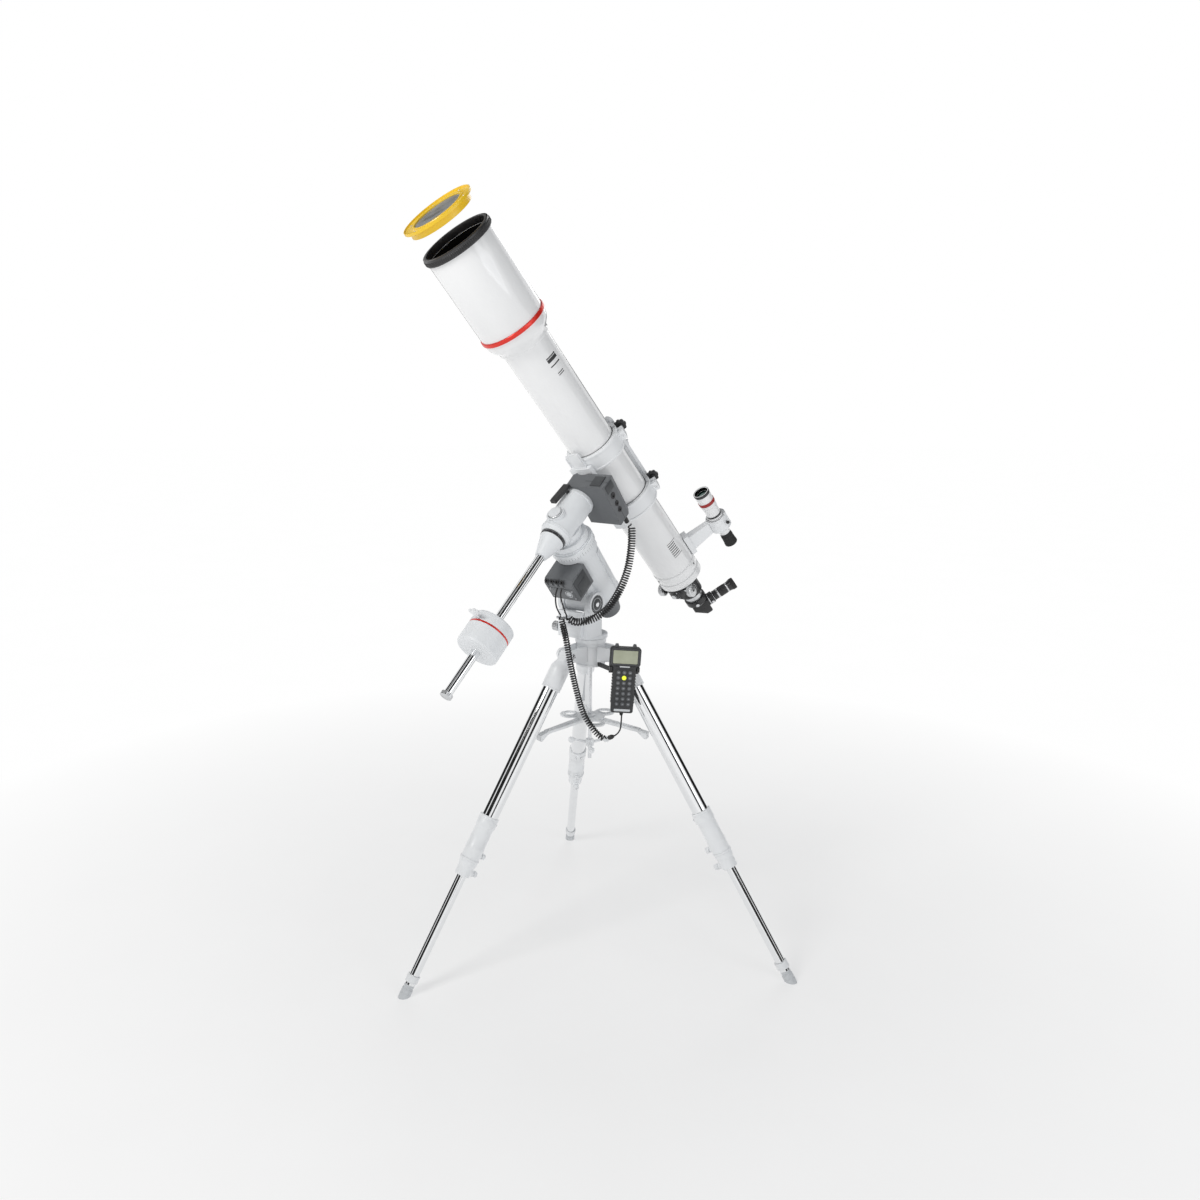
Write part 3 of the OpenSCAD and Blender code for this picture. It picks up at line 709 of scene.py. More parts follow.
# ---------------------------------------------------------------- room and light
def make_room():
    world = bpy.data.worlds.new("studio")
    scene.world = world
    world.use_nodes = True
    t = world.node_tree
    t.nodes.clear()
    out = t.nodes.new("ShaderNodeOutputWorld")
    coord = t.nodes.new("ShaderNodeTexCoord")
    sep = t.nodes.new("ShaderNodeSeparateXYZ")
    t.links.new(coord.outputs["Generated"], sep.inputs[0])
    turn = t.nodes.new("ShaderNodeMath")
    turn.operation = "ARCTAN2"
    t.links.new(sep.outputs["Y"], turn.inputs[0])
    t.links.new(sep.outputs["X"], turn.inputs[1])
    ramp = t.nodes.new("ShaderNodeValToRGB")
    scale = t.nodes.new("ShaderNodeMapRange")
    scale.inputs["From Min"].default_value = -math.pi
    scale.inputs["From Max"].default_value = math.pi
    t.links.new(turn.outputs[0], scale.inputs["Value"])
    t.links.new(scale.outputs["Result"], ramp.inputs["Fac"])
    e = ramp.color_ramp.elements
    e[0].position, e[0].color = 0.0, (1, 1, 1, 1)
    e[1].position, e[1].color = 1.0, (1, 1, 1, 1)
    # dark flags beside the camera and behind the object, for the black lines in polished steel
    for lo, hi, v in ((0.02, 0.14, 0.02), (0.19, 0.31, 0.012), (0.39, 0.52, 0.02), (0.57, 0.70, 0.012),
            (0.79, 0.92, 0.02)):
        for p, c in ((lo - 0.012, 1.0), (lo, v), (hi, v), (hi + 0.012, 1.0)):
            k = e.new(p)
            k.color = (c, c, c, 1)
    flags = t.nodes.new("ShaderNodeBackground")
    flags.inputs["Strength"].default_value = 0.95
    t.links.new(ramp.outputs["Color"], flags.inputs["Color"])
    plain = t.nodes.new("ShaderNodeBackground")
    plain.inputs["Color"].default_value = (1, 1, 1, 1)
    plain.inputs["Strength"].default_value = 1.0
    soft = t.nodes.new("ShaderNodeBackground")
    soft.inputs["Color"].default_value = (0.97, 0.985, 1, 1)
    soft.inputs["Strength"].default_value = 0.40
    path = t.nodes.new("ShaderNodeLightPath")
    inner = t.nodes.new("ShaderNodeMixShader")
    t.links.new(path.outputs["Is Glossy Ray"], inner.inputs["Fac"])
    t.links.new(soft.outputs[0], inner.inputs[1])
    t.links.new(flags.outputs[0], inner.inputs[2])
    mix = t.nodes.new("ShaderNodeMixShader")
    t.links.new(path.outputs["Is Camera Ray"], mix.inputs["Fac"])
    t.links.new(inner.outputs[0], mix.inputs[1])
    t.links.new(plain.outputs[0], mix.inputs[2])
    t.links.new(mix.outputs[0], out.inputs["Surface"])

    floor = bpy.data.meshes.new("floor")
    bm = bmesh.new()
    rings = []
    for r in (0.6, 1.4, 2.6, 5, 12, 40):
        rings.append([bm.verts.new((r * math.cos(2 * math.pi * k / 48), r * math.sin(2 * math.pi * k / 48),
                -0.0005)) for k in range(48)])
    bm.faces.new(rings[0])
    for a, b in zip(rings, rings[1:]):
        for k in range(48):
            bm.faces.new((a[k], b[k], b[(k + 1) % 48], a[(k + 1) % 48]))
    bm.to_mesh(floor)
    bm.free()
    ob = bpy.data.objects.new("floor", floor)
    scene.collection.objects.link(ob)
    n = Nodes("pale_floor")
    n.link(n.mix(n.remap(n.noise(3, 3), 0, 1), (0.90, 0.90, 0.90), (0.93, 0.93, 0.93)),
            n.bsdf.inputs["Base Color"])
    n.link(n.remap(n.noise(7, 3), 0.6, 0.75), n.bsdf.inputs["Roughness"])
    n.bsdf.inputs["Specular IOR Level"].default_value = 0.1
    # the floor runs out into the white of the studio
    sep = n.add("ShaderNodeSeparateXYZ")
    n.link(n.coord, sep.inputs[0])
    away = n.math("SQRT", n.math("ADD", n.math("POWER", sep.outputs["X"], 2.0),
            n.math("POWER", sep.outputs["Y"], 2.0)))
    glow = n.add("ShaderNodeEmission")
    n.link(n.mix(n.remap(n.noise(2, 2), 0, 1), (0.995, 0.995, 0.995), (1.0, 1.0, 1.0)),
            glow.inputs["Color"])
    blend = n.add("ShaderNodeMixShader")
    n.link(n.remap(away, 0.5, 1.0, 0.6, 3.0), blend.inputs["Fac"])
    n.link(n.bsdf.outputs[0], blend.inputs[1])
    n.link(glow.outputs[0], blend.inputs[2])
    n.link(blend.outputs[0], n.tree.nodes["Material Output"].inputs["Surface"])
    floor.materials.append(n.mat)

    for name, where, size, power, tint in (
        ("key", (-0.6, -3.4, 3.6), 1.3, 66, (1, 0.99, 0.97)),
        ("fill", (3.6, -0.4, 2.2), 1.8, 20, (0.97, 0.98, 1)),
        ("back", (-1.6, 3.0, 3.6), 2.0, 26, (1, 1, 1)),
    ):
        light = bpy.data.lights.new(name, "AREA")
        light.size, light.energy, light.color = size, power, tint
        lamp = bpy.data.objects.new(name, light)
        lamp.location = where
        lamp.rotation_euler = (Vector((0, 0, 1.1)) - Vector(where)).to_track_quat("-Z", "Y").to_euler()
        scene.collection.objects.link(lamp)
    scene.view_settings.view_transform = "Standard"


make_room()

# ---------------------------------------------------------------- optical tube
def patch(r, a0, a1, z0, z1, thick=0.12, n=12):
    """a thin printed or applied area on a round surface"""
    bm = bmesh.new()
    grid = {}
    for s, rr in ((0, r), (1, r + thick)):
        for k in range(n + 1):
            t = math.radians(a0 + (a1 - a0) * k / n)
            for e, z in ((0, z0), (1, z1)):
                grid[s, k, e] = bm.verts.new((rr * math.cos(t), rr * math.sin(t), z))
    for k in range(n):
        for s in (0, 1):
            bm.faces.new((grid[s, k, 0], grid[s, k + 1, 0], grid[s, k + 1, 1], grid[s, k, 1]))
        for e in (0, 1):
            bm.faces.new((grid[0, k, e], grid[0, k + 1, e], grid[1, k + 1, e], grid[1, k, e]))
    for k in (0, n):
        bm.faces.new((grid[0, k, 0], grid[0, k, 1], grid[1, k, 1], grid[1, k, 0]))
    bmesh.ops.recalc_face_normals(bm, faces=bm.faces)
    return bm


def rivet(r, h, at_point, axis):
    dome = lathe([(0, 0), (r, 0), (r, h * 0.35), (r * 0.8, h * 0.75), (r * 0.4, h * 0.95), (0, h)], 20)
    return along(dome, axis, at_point)


def socket_screw(r, h, at_point, axis):
    """a cap screw with a round socket in its head"""
    body = lathe(rounded([(0, 0), (r, 0), (r, h), (r * 0.55, h)], 0.4) + [(r * 0.55, h * 0.45),
            (0, h * 0.4)], 12)
    return along(body, axis, at_point)


def make_dew_shield():
    flare = lathe([(70.8, 448), (74, 448), (76, 448.6), (77, 450), (77, 457), (77.8, 460), (81, 465),
            (86, 471), (90, 476),
                   (92.6, 481), (94.2, 487), (95, 494), (95, 504), (90, 504), (80, 504), (67.2, 504),
                (67.2, 471), (70.8, 470)],
                  128, True)
    barrel = hoop(93.2, 97, 516, 759.9, 0.6, 128)
    liner = lathe([(79, 504.2), (93, 504.2), (93, 758), (92.4, 758), (92.4, 540), (80, 539), (79, 538)], 96,
            True)
    put("dew_shield_shell", [flare, barrel, liner], TUBE, [WHITE, WHITE, FLOCK], "telescope",
            32,
        ("dew_shield",))
    baffles = [lathe(rounded([(92.4, z), (92.4, z + 1.2), (84, z + 0.6)], 0.2, True), 96,
            True) for z in (575, 650)]
    put("dew_shield_baffles", baffles, TUBE, FLOCK, "telescope", 32)
    rim = [shifted(lathe(rounded([(91, 0), (91, 20), (97, 20), (101, 19), (101, 0), (98, 0)], 0.7, True),
            128, True), 0, 0, 760)]
    outer = bmesh.new()
    rows = []
    n = 110
    for z, lift in ((762.5, 0.0), (764, 1.0), (773, 1.0), (774.5, 0.0)):
        row = []
        for i in range(n * 4):
            t = 2 * math.pi * i / (n * 4)
            r = 101.2 + lift * (0.5, 1.8, 1.8, 0.5)[i % 4]
            row.append(outer.verts.new((r * math.cos(t), r * math.sin(t), z)))
        rows.append(row)
    for a, b in zip(rows, rows[1:]):
        for i in range(n * 4):
            outer.faces.new((a[i], a[(i + 1) % (n * 4)], b[(i + 1) % (n * 4)], b[i]))
    inner = []
    for z in (762.5, 774.5):
        inner.append([outer.verts.new((100 * math.cos(2 * math.pi * i / (n * 4)),
                100 * math.sin(2 * math.pi * i / (n * 4)), z))
                      for i in range(n * 4)])
    for a, b in ((rows[0], inner[0]), (inner[0], inner[1]), (inner[1], rows[-1])):
        for i in range(n * 4):
            outer.faces.new((a[i], a[(i + 1) % (n * 4)], b[(i + 1) % (n * 4)], b[i]))
    bmesh.ops.recalc_face_normals(outer, faces=outer.faces)
    put("front_rim", rim + [outer], TUBE, [SATIN, BLACK], "telescope", 32, ("rim_ring",))
    accent = lathe([(93, 504.3), (99.2, 504.3), (100, 505.2), (100.3, 507), (100.3, 513), (100, 514.8),
            (99.2, 515.7), (93, 515.7)],
                   128, True)
    put("accent_band", accent, TUBE, RED, "telescope", 32, ("accent_ring",))


def make_filter():
    z = 856
    cell = lathe([(70, z + 1.2), (70.8, z + 2.6), (73, z + 3), (76, z + 2.6), (78, z + 0.6), (82, z),
            (96, z), (98.6, z + 1),
                  (99.6, z + 4.2), (101, z + 5), (102, z + 4.4), (102, z - 2.4), (101.2, z - 3),
                (90.8, z - 3), (90.5, z - 4),
                  (90.5, z - 19.4), (90, z - 20), (88.4, z - 20), (88, z - 19), (88, z - 3), (72, z - 3),
                (70, z - 2)], 128, True)
    studs = [rivet(2.6, 1.8, around_axis(87, t, z), (0, 0, 1))
             for t in (math.radians(20 + 60 * k) for k in range(6))]
    put("solar_filter_ring", [cell] + studs, TUBE, [YELLOW] + [MACHINED] * 6, "solar_filter",
            34,
        ("filter_cell",))
    bm = bmesh.new()
    rng = np.random.default_rng(7)
    waves = [(rng.uniform(0.04, 0.16), rng.uniform(0, 6.28), rng.uniform(0, 6.28),
            rng.uniform(0.10, 0.26)) for _ in range(9)]
    faces = []
    for side in (0, 1):
        rows = [[bm.verts.new((0, 0, z - 1.5 + 1.2 * side))]]
        for i in range(1, 15):
            r = 70.4 * i / 14
            row = []
            for k in range(72):
                t = 2 * math.pi * k / 72
                x, y = r * math.cos(t), r * math.sin(t)
                h = sum(a * math.sin(f * (x * math.cos(d) + y * math.sin(d)) + p) for f, d, p, a in waves)
                row.append(bm.verts.new((x, y, z - 1.5 + 0.4 * h * min(1, (14 - i) / 3) + 1.2 * side)))
            rows.append(row)
        for a, b in zip(rows, rows[1:]):
            for k in range(72):
                m = (k + 1) % 72
                if len(a) == 1:
                    bm.faces.new((a[0], b[k], b[m]))
                else:
                    bm.faces.new((a[k], b[k], b[m], a[m]))
        faces.append(rows[-1])
    for k in range(72):
        m = (k + 1) % 72
        bm.faces.new((faces[0][k], faces[0][m], faces[1][m], faces[1][k]))
    bmesh.ops.recalc_face_normals(bm, faces=bm.faces)
    put("solar_film", bm, TUBE, FILM, "solar_filter", 60, ("filter_film",))


def make_tube_marks():
    """plain stripes and a blank data plate where a real tube carries print"""
    a = MARK_TURN
    marks = []
    for z, w in ((392, 3.2), (380, 10), (366, 3.2)):
        marks.append(patch(70.85, a - 15, a + 15, z, z + w))
    for z in (340, 334):
        marks.append(patch(70.85, a - 9, a + 9, z, z + 2.2))
    for z in (-338, -346, -354, -362, -370, -378):
        marks.append(patch(70.85, a - 20, a + (4 if z % 16 else 8), z, z + 3))
    marks.append(patch(70.85, a - 20, a + 10, -330, -328.4))
    marks.append(patch(70.85, a - 20, a + 10, -385, -383.4))
    put("tube_marks", marks, TUBE, INK, "telescope", 50)
    band = lathe(rounded([(70.8, -470), (73.2, -470), (73.2, -446), (72, -444), (70.8, -443)], 0.8, True),
            96, True)
    screws = []
    for k in range(3):
        t = math.radians(a + 18 + 120 * k)
        screws.append(rivet(3, 2, around_axis(73, t, -457), around_axis(1, t, 0)))
    put("tube_rear_band", [band] + screws, TUBE, [WHITE] + [SATIN] * 3, "telescope", 35)


def make_rings():
    for i, z in enumerate((56, -150)):
        word = ("front", "rear")[i]
        liner = [lathe([(71.02, z + s * 27 - s * 2.5), (71.02, z + s * 27.4), (73, z + s * 27.4),
                (73, z + s * 27 - s * 2.5)], 96, True)
                 for s in (-1, 1)]
        lips = [lathe(rounded([(73, z + s * 27), (83.6, z + s * 27), (84.6, z + s * 24), (84.6, z + s * 20),
                (83, z + s * 19)], 0.8, True),
                      96, True) for s in (-1, 1)]
        put(f"ring_{word}_edges", liner + lips, TUBE, [FLOCK] * 2 + [CASTWHITE] * 2, "cradle",
                34)
        knob = [prism(lobes(19, 2.6, 8, 12, 0.7), 43, 55, 1.4, 2), disc(11, 54, 56.6, 1.4, 36),
                disc(5.2, 56, 57.4, 0.5, 24),
                disc(9, 38, 43.4, 1.2, 32)]
        stem = lathe(rounded([(0, -15), (4, -15), (4, 42), (0, 42)], 0.5), 28)
        m = turned(turned(TUBE, (0, 0, z), 40), (92, 0, 0), -90, "X")
        put(f"ring_knob_{word}_grip", knob + [stem], m, [BLACK, BLACK, STEEL, BLACK, STEEL],
                f"ring_screw_{word}",
            36, (f"ring_knob_{word}",))


def make_focuser():
    body = lathe([(30.4, -578), (39, -578), (40, -577), (40, -569), (38.8, -568), (38.8, -565), (40, -564),
            (40, -561),
                  (38.8, -560), (38.8, -557), (40, -556), (40, -514), (44, -511), (51, -509), (52, -508),
                (52, -501),
                  (51, -500), (40.8, -500), (40.8, -480), (30.4, -480)], 96, True)
    pinion = box((-22, 22), (-66, -30), (-546, -506), 3, 3)
    plate = box((-19, 19), (-67.4, -65), (-543, -509), 1, 2)
    screws = [socket_screw(2.4, 2, (x, -67.2, z), (0, -1, 0)) for x in (-14, 14) for z in (-538, -514)]
    grip = along(knurl(8.5, 0, 9, 18), (0, -1, 0), (0, -67.4, -526))
    lockscrew = [along(knurl(7.5, 0, 8, 16), (0.2, 1, 0), (8, 45, -545)),
                 along(round_bar(3, -8, 1, 20), (0.2, 1, 0), (8, 45, -545))]
    put("focuser_shell", [body, pinion, plate] + screws + [grip] + lockscrew, TUBE,
        [SATIN, SATIN, SATIN] + [STEEL] * 4 + [MACHINED, SATIN, STEEL], "telescope", 34,
        ("focuser_body",))
    draw = lathe([(25.6, -622), (30, -622), (30, -441), (25.6, -441)], 96, True)
    collar = lathe(rounded([(25.6, -624), (34.6, -624), (36, -622.6), (36, -603.4), (34.6, -602),
            (30, -602), (25.6, -602)], 0.5, True), 96, True)
    marks = []
    for k in range(16):
        z = -598 + 2.5 * k
        marks.append(patch(30.02, 96, 104 if k % 4 else 110, z, z + 0.5, 0.08, 3))
    tips = [along(knurl(6, 0, 7, 14), around_axis(1, t, 0), around_axis(36.5, t, -613))
            for t in (math.radians(EP_ANGLE + 100), math.radians(EP_ANGLE - 100))]
    put("drawtube_shell", [draw, collar] + marks + tips, TUBE, [MACHINED, SATIN] + [INK] * 16 + [STEEL] * 2,
            "focus_tube",
        34, ("drawtube",))
    wheels = [round_bar(5, -50, 50, 24)]
    kinds = [STEEL]
    for s in (-1, 1):
        wheels += [moved(knurl(21, 0, 15, 54, 0.7, 1.4), Matrix.Translation((0, 0, s * 58 - 7.5))),
                   along(disc(14, 0, 1.4, 0.6, 48), (0, 0, s), (0, 0, s * 65.2)),
                   along(disc(4, 0, 2.4, 0.5, 24), (0, 0, s), (0, 0, s * 65.2)),
                   along(disc(13, 0, 4, 1.0, 40), (0, 0, -s), (0, 0, s * 50.6))]
        kinds += [MACHINED, MACHINED, SATIN, SATIN]
    m = turned(TUBE, (0, -46, -522), 90, "Y")
    put("focus_wheels_pair", wheels, m, kinds, "focus_wheels", 36, ("focus_knobs",))


def make_diagonal():
    # a 90 degree prism housing with a slanted back
    outline = [(28, -630), (28, -676), (24, -680), (8, -680), (-26, -647), (-26, -632), (-24, -630)]
    case = moved(prism(outline, -22, 22, 2.2, 3), UPRIGHT)
    plate = moved(prism([(7, -682.2), (-27.4, -648.8), (-25.6, -647), (8.8, -680.4)], -19, 19, 0.6, 2),
            UPRIGHT)
    cover = [moved(prism([(24, -634), (24, -672), (20, -676), (9, -676), (-22, -646), (-22, -634)],
            s * 22.2 - 0.8, s * 22.2 + 0.8, 0.5, 2),
                   UPRIGHT) for s in (-1, 1)]
    neck = lathe(rounded([(15, -630), (28, -630), (28, -624.4), (25.4, -624.4), (25.4, -590), (15, -590)],
            0.6, True), 64, True)
    put("diagonal_case", [case, plate] + cover + [neck], SIDE, [SATIN, BLACK, BLACK, BLACK, MACHINED],
            "star_diagonal",
        34, ("diagonal",))
    holder = hoop(15.95, 20, 28, 52, 0.8, 64)
    band = hoop(19.8, 20.8, 33, 36, 0.3, 64)
    grip = [along(knurl(4.6, 0, 7, 12), (0, -1, 0), (0, -21, 43)),
            along(knurl(4.6, 0, 7, 12), (0, 1, 0), (0, 21, 43))]
    put("diagonal_holder", [holder, band] + grip, BRANCH, [SATIN, MACHINED, STEEL, STEEL], "star_diagonal",
            34)
    barrel = lathe([(11, 31), (15.4, 31), (15.87, 31.6), (15.87, 53), (11, 53)], 64, True)
    body = lathe([(0, 53.5), (16.2, 53.5), (16.5, 54), (16.5, 60), (16.0, 60.6), (16.0, 63.4), (16.5, 64),
            (16.5, 100), (16.5, 112),
                  (18.6, 121), (19, 123), (19, 134), (18.2, 136), (13, 136), (12, 135), (12, 125),
                (10, 124), (0, 124)], 64)
    bands = [hoop(16.2, 16.75, a, b, 0.2, 64) for a, b in ((68, 74), (104, 108.5))]
    ribs = knurl(17.2, 76, 101, 26, 0.7, 1.0)
    cup = lathe(rounded([(13, 122), (19.6, 122), (19.9, 126), (19.4, 135.6), (17, 136), (13, 134)], 0.8,
            True), 64, True)
    lens = lathe([(0, 124.5), (10, 124.2), (10, 125), (6, 126), (0, 126.5)], 48)
    put("eyepiece_shell", [barrel, body] + bands + [ribs, cup, lens], BRANCH,
        [STEEL, SATIN, MACHINED, MACHINED, BLACK, RUBBER, LENS], "ocular", 34,
        ("eyepiece",))


def make_finder():
    f = -276
    front = lathe([(20.5, f - 60), (23, f - 60), (24.6, f - 58), (25, f - 56), (25, f - 1), (24.4, f),
            (22.6, f), (22, f - 1), (22, f - 12), (20.5, f - 14)],
                  72, True)
    lining = lathe([(20.4, f - 58), (21.9, f - 40), (21.9, f - 2), (21.5, f - 2), (20.6, f - 36),
            (19.8, f - 58)], 72, True)
    cap = lathe([(24.9, f - 10), (25.6, f - 10), (26, f - 8), (26, f - 1.4), (25.4, f - 0.2),
            (24.9, f - 0.2)], 72, True)
    ring_ = hoop(24.9, 26.5, f - 46, f - 35, 0.5, 72)
    mid = lathe([(18, f - 101), (23, f - 101), (23, f - 72), (24.4, f - 66), (24.4, f - 59), (18, f - 59)],
            72, True)
    groove = hoop(22.9, 23.9, f - 98, f - 92, 0.3, 72)
    rear = lathe([(16, -434), (25, -434), (25.5, -433), (25.5, -430), (24.9, -429), (24.9, -381),
            (25.5, -380), (25.5, -377.6),
                  (25, -376.6), (16, -376.6)], 72, True)
    tail = lathe([(14, -452), (18, -452), (18, -438), (20, -434), (14, -434)], 60, True)
    glass = lathe([(0, f - 15), (20.6, f - 15), (20.6, f - 13), (12, f - 10.8), (0, f - 10)], 60)
    put("finder_shell", [front, lining, cap, ring_, mid, groove, rear, tail, glass], FINDER,
        [WHITE, FLOCK, SATIN, WINE, WHITE, SATIN, WHITE, WHITE, LENS], "telescope", 34,
        ("finder_tube",))
    eye = lathe([(0, -498), (11, -498), (12, -499), (12, -501), (14, -502), (20, -502), (21, -500.6),
            (21, -494), (20, -490), (19.6, -478),
                 (18.4, -476), (18.4, -472), (19.6, -470), (19.6, -466), (18.4, -464), (18.4, -458),
                (17.6, -452), (0, -452)], 60)
    put("finder_eyepiece", eye, FINDER, RUBBER, "telescope", 34)
    tips = []
    for a in (60, 180, 300):
        t = math.radians(a)
        tips += [along(knurl(5.2, 0, 8, 14), around_axis(1, t, 0), around_axis(38, t, -404)),
                 along(knurl(5.6, 0, 2.4, 14), around_axis(1, t, 0), around_axis(34, t, -404))]
    edge = [hoop(27.1, 33.8, z - 2, z + 2, 0.7, 60) for z in (-426, -382)]
    put("finder_ring_screws", tips + edge, FINDER, [BLACK, STEEL] * 3 + [CASTWHITE] * 2, "telescope",
            34)


# ---------------------------------------------------------------- mount
def make_motor_details():
    x = 110.0
    parts, kinds = [], []
    for y in (-50, -26, 4):
        r = 8.6 if y != 4 else 10
        parts += [along(ring(r, 5.2, 0, 1.6, 0.5, 36), (1, 0, 0), (x, y, -128)),
                  along(lathe([(0, -6), (5, -6), (5, 0.2), (4.4, 0.8), (3.4, 0.8), (3.2, -4), (0, -4)], 32),
                (1, 0, 0), (x, y, -128))]
        kinds += [SATIN, RUBBER]
    # lid with a raised border, corner screws and a plain badge
    lid = [prism(corner_box((56, 98), (-78, 40), 8), -167.2, -165.6, 0.6, 2),
           prism(corner_box((60, 94), (-74, 36), 6), -168, -166.8, 0.5, 2)]
    badge = [along(ring(15, 12.6, 0, 1.0, 0.4, 48), (0, 0, -1), (77, -20, -168)),
             along(disc(9.6, 0, 0.8, 0.3, 40), (0, 0, -1), (77, -20, -168))]
    screws = [socket_screw(2.6, 1.4, (sx, sy, -167.8), (0, 0, -1)) for sx in (66, 90) for sy in (-68, 30)]
    seam = []
    for a, b in (((34, 110), (54, 54.35)), ((34, 110), (-92.35, -92))):
        seam.append(box(a, b, (-131.2, -129.6), 0.1, 1))
    seam.append(box((110, 110.35), (-92.3, 54.3), (-131.2, -129.6), 0.1, 1))
    foot = [box((60, 96), (54, 56.5), (-150, -112), 0.8, 2), box((110, 111.6), (22, 48), (-148, -112), 0.6,
            2)]
    put("declination_case_details", parts + lid + badge + screws + seam + foot, DEC,
        kinds + [MOTOR, MOTOR] + [PALE, PALE] + [STEEL] * 4 + [MOTORDARK] * 3 + [MOTORDARK] * 2,
        "dec_body", 34)

    parts, kinds = [], []
    for sx in (-30, -11, 8, 27):
        d = Vector((0, -math.cos(math.radians(45)), math.sin(math.radians(45))))
        c = Vector((sx, -122, -108)) + Vector((0, -1, 1)).normalized() * 0.6
        parts += [along(ring(7.2, 4.4, 0, 1.5, 0.5, 32), d, tuple(c + d * SOCKET_LIFT)),
                  along(lathe([(0, -4), (4.2, -4), (4.2, 0.3), (3.4, 0.7), (2.8, 0.7), (2.6, -3), (0, -3)],
                28), d, tuple(c + d * SOCKET_LIFT))]
        kinds += [SATIN, RUBBER]
    panel = [box((60, 61.4), (-122, -62), (-168, -108), 0.6, 2),
            box((61.2, 62.2), (-112, -74), (-158, -128), 0.4, 2)]
    face = [box((-36, 54), (-131.2, -130), (-169, -128), 0.5, 2)]
    badge = [along(ring(13, 10.8, 0, 1.0, 0.4, 44), (0, -1, 0), (32, -131.2, -148)),
             along(disc(8.2, 0, 0.8, 0.3, 36), (0, -1, 0), (32, -131.2, -148))]
    screws = [socket_screw(2.4, 1.3, (sx, -131, sz), (0, -1, 0)) for sx in (-30, 49) for sz in (-164, -134)]
    seam = [box((-42.3, 60.3), (-92, -90.6), (-175.3, -174.9), 0.1, 1),
            box((60, 60.35), (-92, -90.6), (-175, -100), 0.1, 1)]
    put("polar_case_details", parts + panel + face + badge + screws + seam, POLAR,
        kinds + [MOTORDARK, MOTORDARK, MOTOR, PALE, PALE] + [STEEL] * 4 + [MOTORDARK] * 2, "polar_body",
                34)


def make_axis_details():
    # right ascension: ticks of the scale and two bands
    ticks = []
    for k in range(48):
        t = 360 * k / 48
        if 60 < t < 120:
            continue
        ticks.append(patch(68.02, t, t + 0.5, -83, -76 if k % 4 else -71, 0.1, 1))
    put("polar_scale", ticks, POLAR, INK, "polar_body", 50)
    collar = lathe(rounded([(60.9, -299.5), (63, -299.5), (63, -290), (60.9, -289)], 0.6, True), 72, True)
    ring3 = lathe(rounded([(57, -64), (62.6, -64), (62.6, -60.6), (58.2, -60)], 0.5, True), 72, True)
    put("polar_housing_bands", [collar], POLAR, [CAST], "polar_body", 34)
    put("polar_upper_band", [ring3], POLAR, [CAST], "dec_body", 34)
    # latitude discs: a dark plate in a pale ring, with the scale's ticks
    for s in (-1, 1):
        m = turned(POLAR, (s * 59.0, -83, -242), 90 * s, "Y")
        plate = disc(27, -0.4, 1.4, 0.5, 64)
        rim = ring(36, 28, -0.5, 2.4, 0.9, 72)
        hub = disc(8.5, 1.2, 3.4, 0.8, 6)
        halo = ring(19.4, 17.8, 1.2, 1.8, 0.2, 56)
        marks = []
        for k in range(0, 36):
            marks.append(spun(box((21.4, 25.6 if k % 3 == 0 else 23.6), (-0.28, 0.28), (1.2, 1.6), 0.05, 1),
                k * 10))
        put("latitude_disc_" + ("left" if s < 0 else "right"), [plate, rim, hub, halo] + marks, m,
            [MOTORDARK, CAST, STEEL, PALE] + [PALE] * 36, "fork", 36)
    # declination: setting circle with ticks
    bandm = lathe(rounded([(30.2, 50), (37.4, 50), (38, 50.6), (38, 59.4), (37.4, 60), (30.2, 60)], 0.2,
            True), 96, True)
    ticks = [patch(38.0, 360 * k / 72, 360 * k / 72 + 0.8, 51, 56.5 if k % 6 == 0 else 53.6, 0.1,
            1) for k in range(72)]
    put("setting_circle_band", [bandm] + ticks, DEC, [SATIN] + [PALE] * 72, "setting_circle",
            40, ("dec_circle",))
    rings = [hoop(45.9, 47.6, a, b, 0.5, 72) for a, b in ((-98, -92), (30, 36))]
    put("declination_bands", rings, DEC, CAST, "dec_body", 34)
    cap = [disc(19.5, 53.6, 55.4, 0.6, 48), knurl(22, 49.5, 53.8, 40, 0.6, 0.8)]
    put("polar_cap_lid", cap, POLAR, [CAST, MACHINED], "scope_cap", 36, ("polar_cap",))


